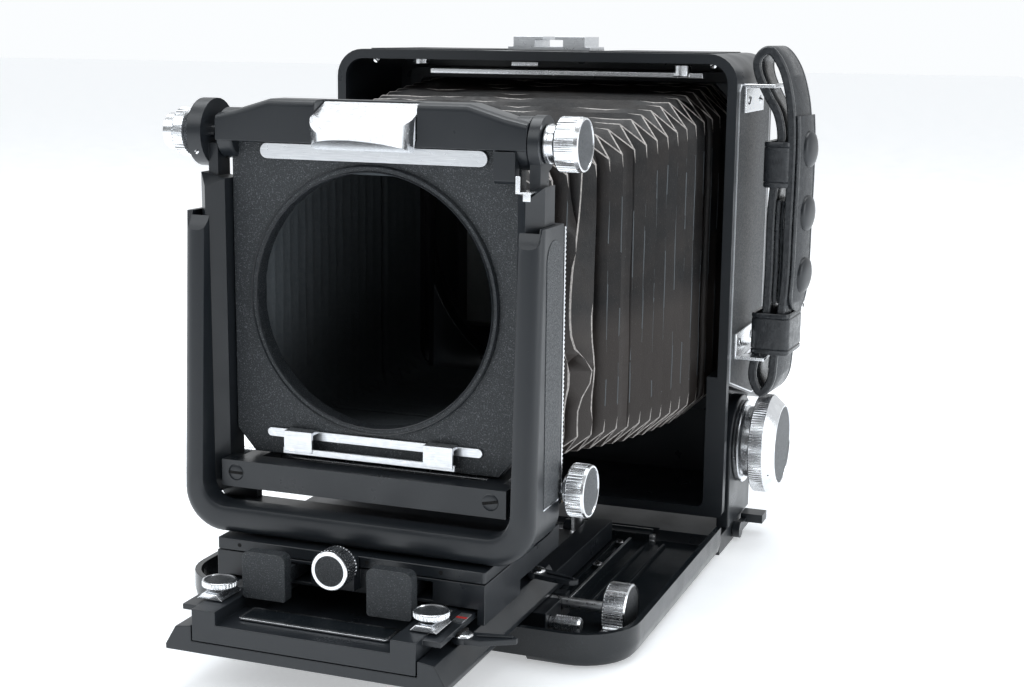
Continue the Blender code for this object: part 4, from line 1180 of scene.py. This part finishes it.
def panel_border(name, outline, x, side, body):
    """A thin bright line along the edge of a covering: the outline pulled in by its width."""
    centre = Vector((sum(p[0] for p in outline) / len(outline), sum(p[1] for p in outline) / len(outline)))
    width = 0.55
    inner = []
    count = len(outline)
    for k in range(count):
        before, here, after = (Vector(outline[(k + step) % count]) for step in (-1, 0, 1))
        first = (here - before).normalized()
        second = (after - here).normalized()
        normal = Vector((-(first.y + second.y), first.x + second.x)).normalized()
        if (centre - here).dot(normal) < 0:
            normal = -normal
        share = max(0.35, abs(Vector((-first.y, first.x)).dot(normal)))
        inner.append(here + normal * width / share)
    bm = bmesh.new()
    low, high = side * x, side * (x + width)
    loops = []
    for loop, along in ((outline, low), (outline, high), (inner, high), (inner, low)):
        loops.append([bm.verts.new(at(u, v, along, "X")) for u, v in loop])
    loft(bm, loops, closed=True)
    make(name, bm, (STEEL,), body)


def make_coverings():
    """Leather on the body's sides and top, inside thin bright borders."""
    outline = [(4.0, 75.0), (47.5, 62.3), (62.8, 62.3)]
    outline += [(62.8, 196.4), (60.0, 199.2), (6.8, 199.2), (4.0, 196.4)]
    for name, side in SIDES:
        bm = bmesh.new()
        inset = [(4.3, 75.4), (47.5, 62.7), (62.5, 62.7)]
        inset += [(62.5, 196.2), (59.8, 198.9), (7.0, 198.9), (4.3, 196.2)]
        add_prism(bm, "X", inset, *sided(side, (BODY_SIDE, 90.4)))
        make(f"body_leather_{name}", bm, (BODY_LEATHER,), "rear_body")
        panel_border(f"body_trim_{name}", outline, BODY_SIDE, side, "rear_body")
    bm = bmesh.new()
    for low, high in ((-77, -24), (24, 77)):
        add_prism(bm, "Z", rounded((low, high), (6, 62), (2,) * 4, 4), 211.2, 211.7)
    top = make("body_leather_top", bm, (BODY_LEATHER,), None)
    tool = bmesh.new()
    add_turned(tool, "Z", (-60, 24), plain([(5.4, 205), (5.4, 220)]), 40)
    solid_cut(top, "button_cut", tool)
    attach(top, "rear_body")


def make_back_details():
    """Ribs on the hood lid, spring clips beside the ground glass and the grid ruled on it."""
    dress("hood_lid", PAINT, 0.5)
    ribs = [((x - 1.2, x + 1.2), (96.3, 97.0), (84, 168), 0) for x in range(-48, 49, 12)]
    make_blocks("hood_ribs", ribs, (PAINT,), "hood", 0.3)
    bm = bmesh.new()
    add_prism(bm, "Z", rounded((-9, 9), (96.0, 97.6), (0.6,) * 4, 3), 75.4, 80.4)
    make("hood_catch", bm, (CHROME,), "hood", edge=0.25)
    springs = [(sided(side, (67.6, 72.4)), (91.9, 92.7), (98, 156), 0) for side in (-1, 1)]
    make_blocks("glass_springs", springs, (CHROME,), "ground_glass", 0.2)
    pitch, half_line, ruled = 12.5, 0.08, (87.1, 87.14)
    columns = [k * pitch for k in range(-4, 5)]
    rows = [LENS_AXIS + k * pitch for k in range(-3, 4)]
    grid = [((x - half_line, x + half_line), ruled, (79, 175.4), 0) for x in columns]
    grid += [((-60.8, 60.8), ruled, (z - half_line, z + half_line), 0) for z in rows]
    make_blocks("glass_grid", grid, (SHADE_AND_INK,), "ground_glass")


def make_latch_bar_details():
    """The white end of the release slide in the middle of the body's upper rim."""
    slide = [((-9, 3), (3.2, 5.0), (204.9, 207.0), 0)]
    make_blocks("release_slide", slide, (CHROME,), "rear_body", 0.3)


# ---------------------------------------------------------------- hand strap

STRAP_Y = (17.0, 39.0)
STRAP_MIDDLE = sum(STRAP_Y) / 2
STRAP_HALF = 1.7  # half of the main layer's thickness
STRAP_TWIST = 0.155  # how fast the outer run moves out towards the rear
STRAP_TOP, STRAP_BOTTOM = 5, 17  # where the line turns over
STRAP_LINE = (  # (x, z) round the middle of the leather, from the middle of the outer run
    (111.0, 140), (111.2, 162), (110.9, 180), (109.3, 194), (105.6, 206), (99.8, 213), (94.9, 209.5),
    (95.2, 203), (99.2, 194.5), (103.6, 186.5), (105.2, 176), (103.4, 162), (102.2, 146), (102.3, 120),
    (101.6, 100), (98.6, 86), (97.6, 76), (101.6, 69.2), (106.0, 75), (107.2, 86), (109.4, 102), (110.8, 120),
)


def strap_point(place, y):
    """The middle of the leather, (x, z), at a place counted in points of STRAP_LINE."""
    count = len(STRAP_LINE)
    span = math.floor(place)
    t = place - span
    before, start, end, after = (Vector(STRAP_LINE[(span + shift) % count]) for shift in (-1, 0, 1, 2))
    bend = 2 * before - 5 * start + 4 * end - after
    twist = 3 * start - before - 3 * end + after
    point = (2 * start + (end - before) * t + bend * t**2 + twist * t**3) / 2
    outer_run = 0.5 + 0.5 * math.cos(math.tau * place / count)
    point.x += STRAP_TWIST * (y - STRAP_MIDDLE) * outer_run
    return point


def strap_spot(place, y, offset):
    """A point this far outside the middle of the leather."""
    step = 0.2
    along = strap_point(place + step, y) - strap_point(place - step, y)
    point = strap_point(place, y) + Vector((along.y, -along.x)).normalized() * offset
    return Vector((point.x, y, point.y))


def place_at(z, outer=True):
    """Where the strap's outer or inner run passes this height."""
    first, last = (STRAP_BOTTOM, STRAP_TOP + len(STRAP_LINE)) if outer else (STRAP_TOP, STRAP_BOTTOM)
    samples = [first + (last - first) * k / 240 for k in range(241)]
    return min(samples, key=lambda place: abs(strap_point(place, STRAP_MIDDLE).y - z))


def strap_section(inner, outer, y, groove=True):
    """(offset, y) round a layer's section, with a pressed line near each edge."""
    low, high = y
    r, line, dip = 0.6, 2.1, 0.35
    rows = []
    for offset, sign in ((outer, 1), (inner, -1)):
        row = [(offset, low + r)]
        for edge, way in ((low, 1), (high, -1)):
            marks = [(offset, edge + way * (line - 0.45)), (offset - sign * dip, edge + way * line)]
            marks += [(offset, edge + way * (line + 0.45))]
            row += (marks if way > 0 else marks[::-1]) if groove else []
        row += [(offset, high - r)]
        rows.append(row)
    far_edge = [(outer - r, high), (inner + r, high)]
    near_edge = [(inner + r, low), (outer - r, low)]
    return rows[0] + far_edge + rows[1][::-1] + near_edge


def strap_ribbon(bm, start, end, section, steps, closed=False, taper=0.0):
    """Sweeps a section along the strap. taper rounds the far end in plan."""
    rings = []
    for k in range(steps if closed else steps + 1):
        share = k / steps
        place = start + (end - start) * share
        narrow = 1.0
        if taper and share > 1 - taper:
            narrow = math.sqrt(max(0.0, 1 - ((share - 1 + taper) / taper) ** 2)) * 0.9 + 0.1
        ring = []
        for offset, y in section:
            spot = strap_spot(place, STRAP_MIDDLE + (y - STRAP_MIDDLE) * narrow, offset)
            ring.append(bm.verts.new(spot))
        rings.append(ring)
    loft(bm, rings, closed)


def strap_band(bm, x, y, z, wall):
    """A leather keeper: a closed band of rounded plan, its edges rolled over, that leans with the strap."""
    outer = rounded(x, y, (3.2,) * 4, 6)
    inner = rounded((x[0] + wall, x[1] - wall), (y[0] + wall, y[1] - wall), (2.0,) * 4, 6)
    groove = rounded((x[0] + 0.35, x[1] - 0.35), (y[0] + 0.35, y[1] - 0.35), (2.9,) * 4, 6)
    low, high = z
    levels = [(inner, low + 0.4), (groove, low), (outer, low + 0.5), (outer, low + 1.8), (groove, low + 2.2)]
    levels += [(outer, low + 2.6), (outer, high - 2.6), (groove, high - 2.2), (outer, high - 1.8)]
    levels += [(outer, high - 0.5), (groove, high), (inner, high - 0.4)]
    lean = STRAP_TWIST * 0.3
    loops = []
    for loop, level in levels:
        loops.append([bm.verts.new((u + lean * (v - STRAP_MIDDLE), v, level)) for u, v in loop])
    loft(bm, loops, closed=True)


def strap_snap(bm, z):
    """A covered snap fastener: a low black dome on the outer run."""
    place = place_at(z)
    middle = STRAP_MIDDLE + 2.5
    top = strap_spot(place, middle, 0)
    out = (strap_spot(place, middle, 1) - top).normalized()
    side = (strap_spot(place, middle + 1, 0) - top).normalized()
    along = out.cross(side)
    sides = 36
    rings = []
    for radius, height in ((7.6, 2.6), (7.6, 3.9), (7.1, 4.5), (5.2, 5.2), (2.4, 5.5)):
        ring = []
        for k in range(sides):
            angle = math.tau * k / sides
            spoke = side * math.cos(angle) + along * math.sin(angle)
            ring.append(bm.verts.new(top + out * height + radius * spoke))
        rings.append(ring)
    loft(bm, rings)


def strap_stitches(bm, start, end, offset, edge, pitch=3.0):
    """Rows of short stitches that lie in the pressed lines between two places."""
    samples, sewn, half = 60, 0.27, 0.2  # sewn is half the share of the pitch that a stitch covers
    points = [strap_point(start + (end - start) * k / samples, STRAP_MIDDLE) for k in range(samples + 1)]
    count = int(sum((after - before).length for before, after in zip(points, points[1:])) / pitch)
    for k in range(count):
        place = start + (end - start) * (k + 0.5) / count
        reach = abs(end - start) / count * sewn
        for y in (STRAP_Y[0] + edge, STRAP_Y[1] - edge):
            corners = []
            for a in (-reach, reach):
                for o in (-half, half):
                    for dy in (-half, half):
                        corners.append(bm.verts.new(strap_spot(place + a, y + dy, offset + o)))
            for quad in ((0, 1, 3, 2), (4, 6, 7, 5), (0, 4, 5, 1), (2, 3, 7, 6), (0, 2, 6, 4), (1, 5, 7, 3)):
                bm.faces.new([corners[i] for i in quad])


def make_strap():
    """The loop, the tongue that closes it, two layers inside, two keepers, three snaps and the thread."""
    around = len(STRAP_LINE)

    def leather(name, build, material=STRAP, angle=40, edge=0.0):
        bm = bmesh.new()
        build(bm)
        make(name, bm, (material,), "rear_body", ("hand_strap",), edge=edge, angle=angle)

    loop = strap_section(-STRAP_HALF, STRAP_HALF, STRAP_Y)
    leather("strap_loop", lambda bm: strap_ribbon(bm, 0, around, loop, 176, closed=True))
    narrow = (STRAP_Y[0] + 0.8, STRAP_Y[1] - 0.8)
    tongue = strap_section(1.75, 3.3, narrow)
    ends = (place_at(186), place_at(104.4))
    leather("strap_tongue", lambda bm: strap_ribbon(bm, *ends, tongue, 60, taper=0.125))
    for name, layer, wide in (("middle", (-3.7, -1.9), 0.4), ("inner", (-5.3, -4.0), 1.0)):
        section = strap_section(*layer, (STRAP_Y[0] + wide, STRAP_Y[1] - wide), groove=False)
        ends = (place_at(152, False), place_at(108, False))
        leather(f"strap_{name}_layer", lambda bm: strap_ribbon(bm, *ends, section, 24))
    leather("strap_keeper_upper", lambda bm: strap_band(bm, (98.6, 110.0), (15.6, 40.4), (156.8, 175.8), 1.3))
    leather("strap_keeper_lower", lambda bm: strap_band(bm, (96.1, 112.5), (15.4, 40.6), (86.2, 103.9), 1.3))

    def snaps(bm):
        for z in (172, 145.5, 119):
            strap_snap(bm, z)

    def stitches(bm):
        strap_stitches(bm, place_at(180), place_at(104), 3.08, 2.9)
        strap_stitches(bm, place_at(196, False), place_at(74, False), STRAP_HALF - 0.2, 2.1)

    leather("strap_snaps", snaps, PAINT, 50)
    leather("strap_stitches", stitches, THREAD)


# ---------------------------------------------------------------- light and view


def make_floor():
    """A white paper floor, with a little glow of its own so that it stays white to the horizon."""
    bm = bmesh.new()
    size = 9000
    corners = [(-size, -size, 0), (size, -size, 0), (size, size, 0), (-size, size, 0)]
    cap(bm, [bm.verts.new(corner) for corner in corners])
    bmesh.ops.transform(bm, matrix=Matrix.Scale(MM, 4), verts=bm.verts)
    mesh = bpy.data.meshes.new("floor")
    bm.to_mesh(mesh)
    bm.free()
    floor = bpy.data.objects.new("floor", mesh)
    floor.location = (0, 0, -0.0002)
    bpy.context.scene.collection.objects.link(floor)
    surface = Surface("floor_paper", (0.85, 0.87, 0.89), 0.7)
    mottle = surface.ramp(surface.noise(40, 5, 0.6), 0.35, 0.65)
    surface.colours(mottle, (0.78, 0.81, 0.84), (0.90, 0.915, 0.93))
    surface.bump(surface.noise(25, 4), 0.6)
    surface.shader.inputs["Emission Color"].default_value = (0.97, 0.985, 1.0, 1)
    surface.shader.inputs["Emission Strength"].default_value = 0.42
    mesh.materials.append(surface.material)


def make_world():
    """A white studio: bright behind the camera's body, dimmer in front of its lens panel."""
    world = bpy.data.worlds.new("studio")
    bpy.context.scene.world = world
    world.use_nodes = True
    nodes, links = world.node_tree.nodes, world.node_tree.links
    background = nodes["Background"]
    place = nodes.new("ShaderNodeTexCoord")
    split = nodes.new("ShaderNodeSeparateXYZ")
    links.new(place.outputs["Generated"], split.inputs["Vector"])
    depth = nodes.new("ShaderNodeMapRange")
    for socket, value in (("From Min", -0.9), ("From Max", 0.4), ("To Min", 0.22), ("To Max", 0.80)):
        depth.inputs[socket].default_value = value
    links.new(split.outputs["Y"], depth.inputs["Value"])
    path = nodes.new("ShaderNodeLightPath")
    seen = nodes.new("ShaderNodeMix")
    seen.data_type = "FLOAT"
    seen.inputs["B"].default_value = 1.0
    links.new(path.outputs["Is Camera Ray"], seen.inputs["Factor"])
    links.new(depth.outputs["Result"], seen.inputs["A"])
    links.new(seen.outputs["Result"], background.inputs["Strength"])
    background.inputs["Color"].default_value = (0.965, 0.985, 1.0, 1)


def make_light(name, place, target, size, power, colour=(1, 1, 1)):
    light = bpy.data.lights.new(name, "AREA")
    light.shape = "RECTANGLE"
    light.size, light.size_y = size
    light.energy = power
    light.color = colour
    obj = bpy.data.objects.new(name, light)
    obj.location = place
    obj.rotation_mode = "QUATERNION"
    obj.rotation_quaternion = (Vector(target) - Vector(place)).to_track_quat("-Z", "Y")
    bpy.context.scene.collection.objects.link(obj)


def make_lights():
    cool = (0.94, 0.975, 1.0)
    make_light("top_box", (-0.1, 0.25, 1.3), (0, 0, 0.1), (1.3, 0.9), 12, cool)
    make_light("left_box", (-1.3, -0.35, 0.8), (0, 0, 0.1), (0.8, 1.0), 4.5, cool)
    make_light("right_box", (1.35, -0.1, 0.55), (0, 0, 0.1), (0.7, 1.0), 5.5, cool)
    make_light("front_box", (-0.75, -1.25, 1.35), (0, -0.1, 0.15), (1.5, 1.0), 10, cool)


VIEW_ANGLES = (20.73, 10.92, 0.61)  # azimuth, elevation and roll, degrees
VIEW_POINT = (240.07, -650.58, 219.49)
VIEW_LENS = 56.88


def make_camera():
    azimuth, elevation, roll = (math.radians(angle) for angle in VIEW_ANGLES)
    flat = math.cos(elevation)
    back = Vector((math.sin(azimuth) * flat, -math.cos(azimuth) * flat, math.sin(elevation)))
    right = (-back).cross(Vector((0, 0, 1))).normalized()
    up = right.cross(-back)
    across = math.cos(roll) * right + math.sin(roll) * up
    upward = -math.sin(roll) * right + math.cos(roll) * up
    camera = bpy.data.cameras.new("camera")
    camera.lens = VIEW_LENS
    camera.sensor_width = 36
    camera.clip_start = 0.01
    obj = bpy.data.objects.new("camera", camera)
    turn = Matrix((across, upward, back)).transposed().to_4x4()
    obj.matrix_world = Matrix.Translation(ORIGIN + Vector(VIEW_POINT) * MM) @ turn
    bpy.context.scene.collection.objects.link(obj)
    bpy.context.scene.camera = obj


dress_cad_nodes()
make_knobs()
make_bellows()
make_screws()
make_holes()
make_bed_details()
make_track_details()
make_stops()
make_u_frame()
make_arm_insets()
make_racks()
make_yoke()
make_latch()
make_panel_details()
make_coverings()
make_back_details()
make_latch_bar_details()
make_strap()
make_floor()
make_world()
make_lights()
make_camera()
bpy.context.scene.view_settings.view_transform = "Standard"
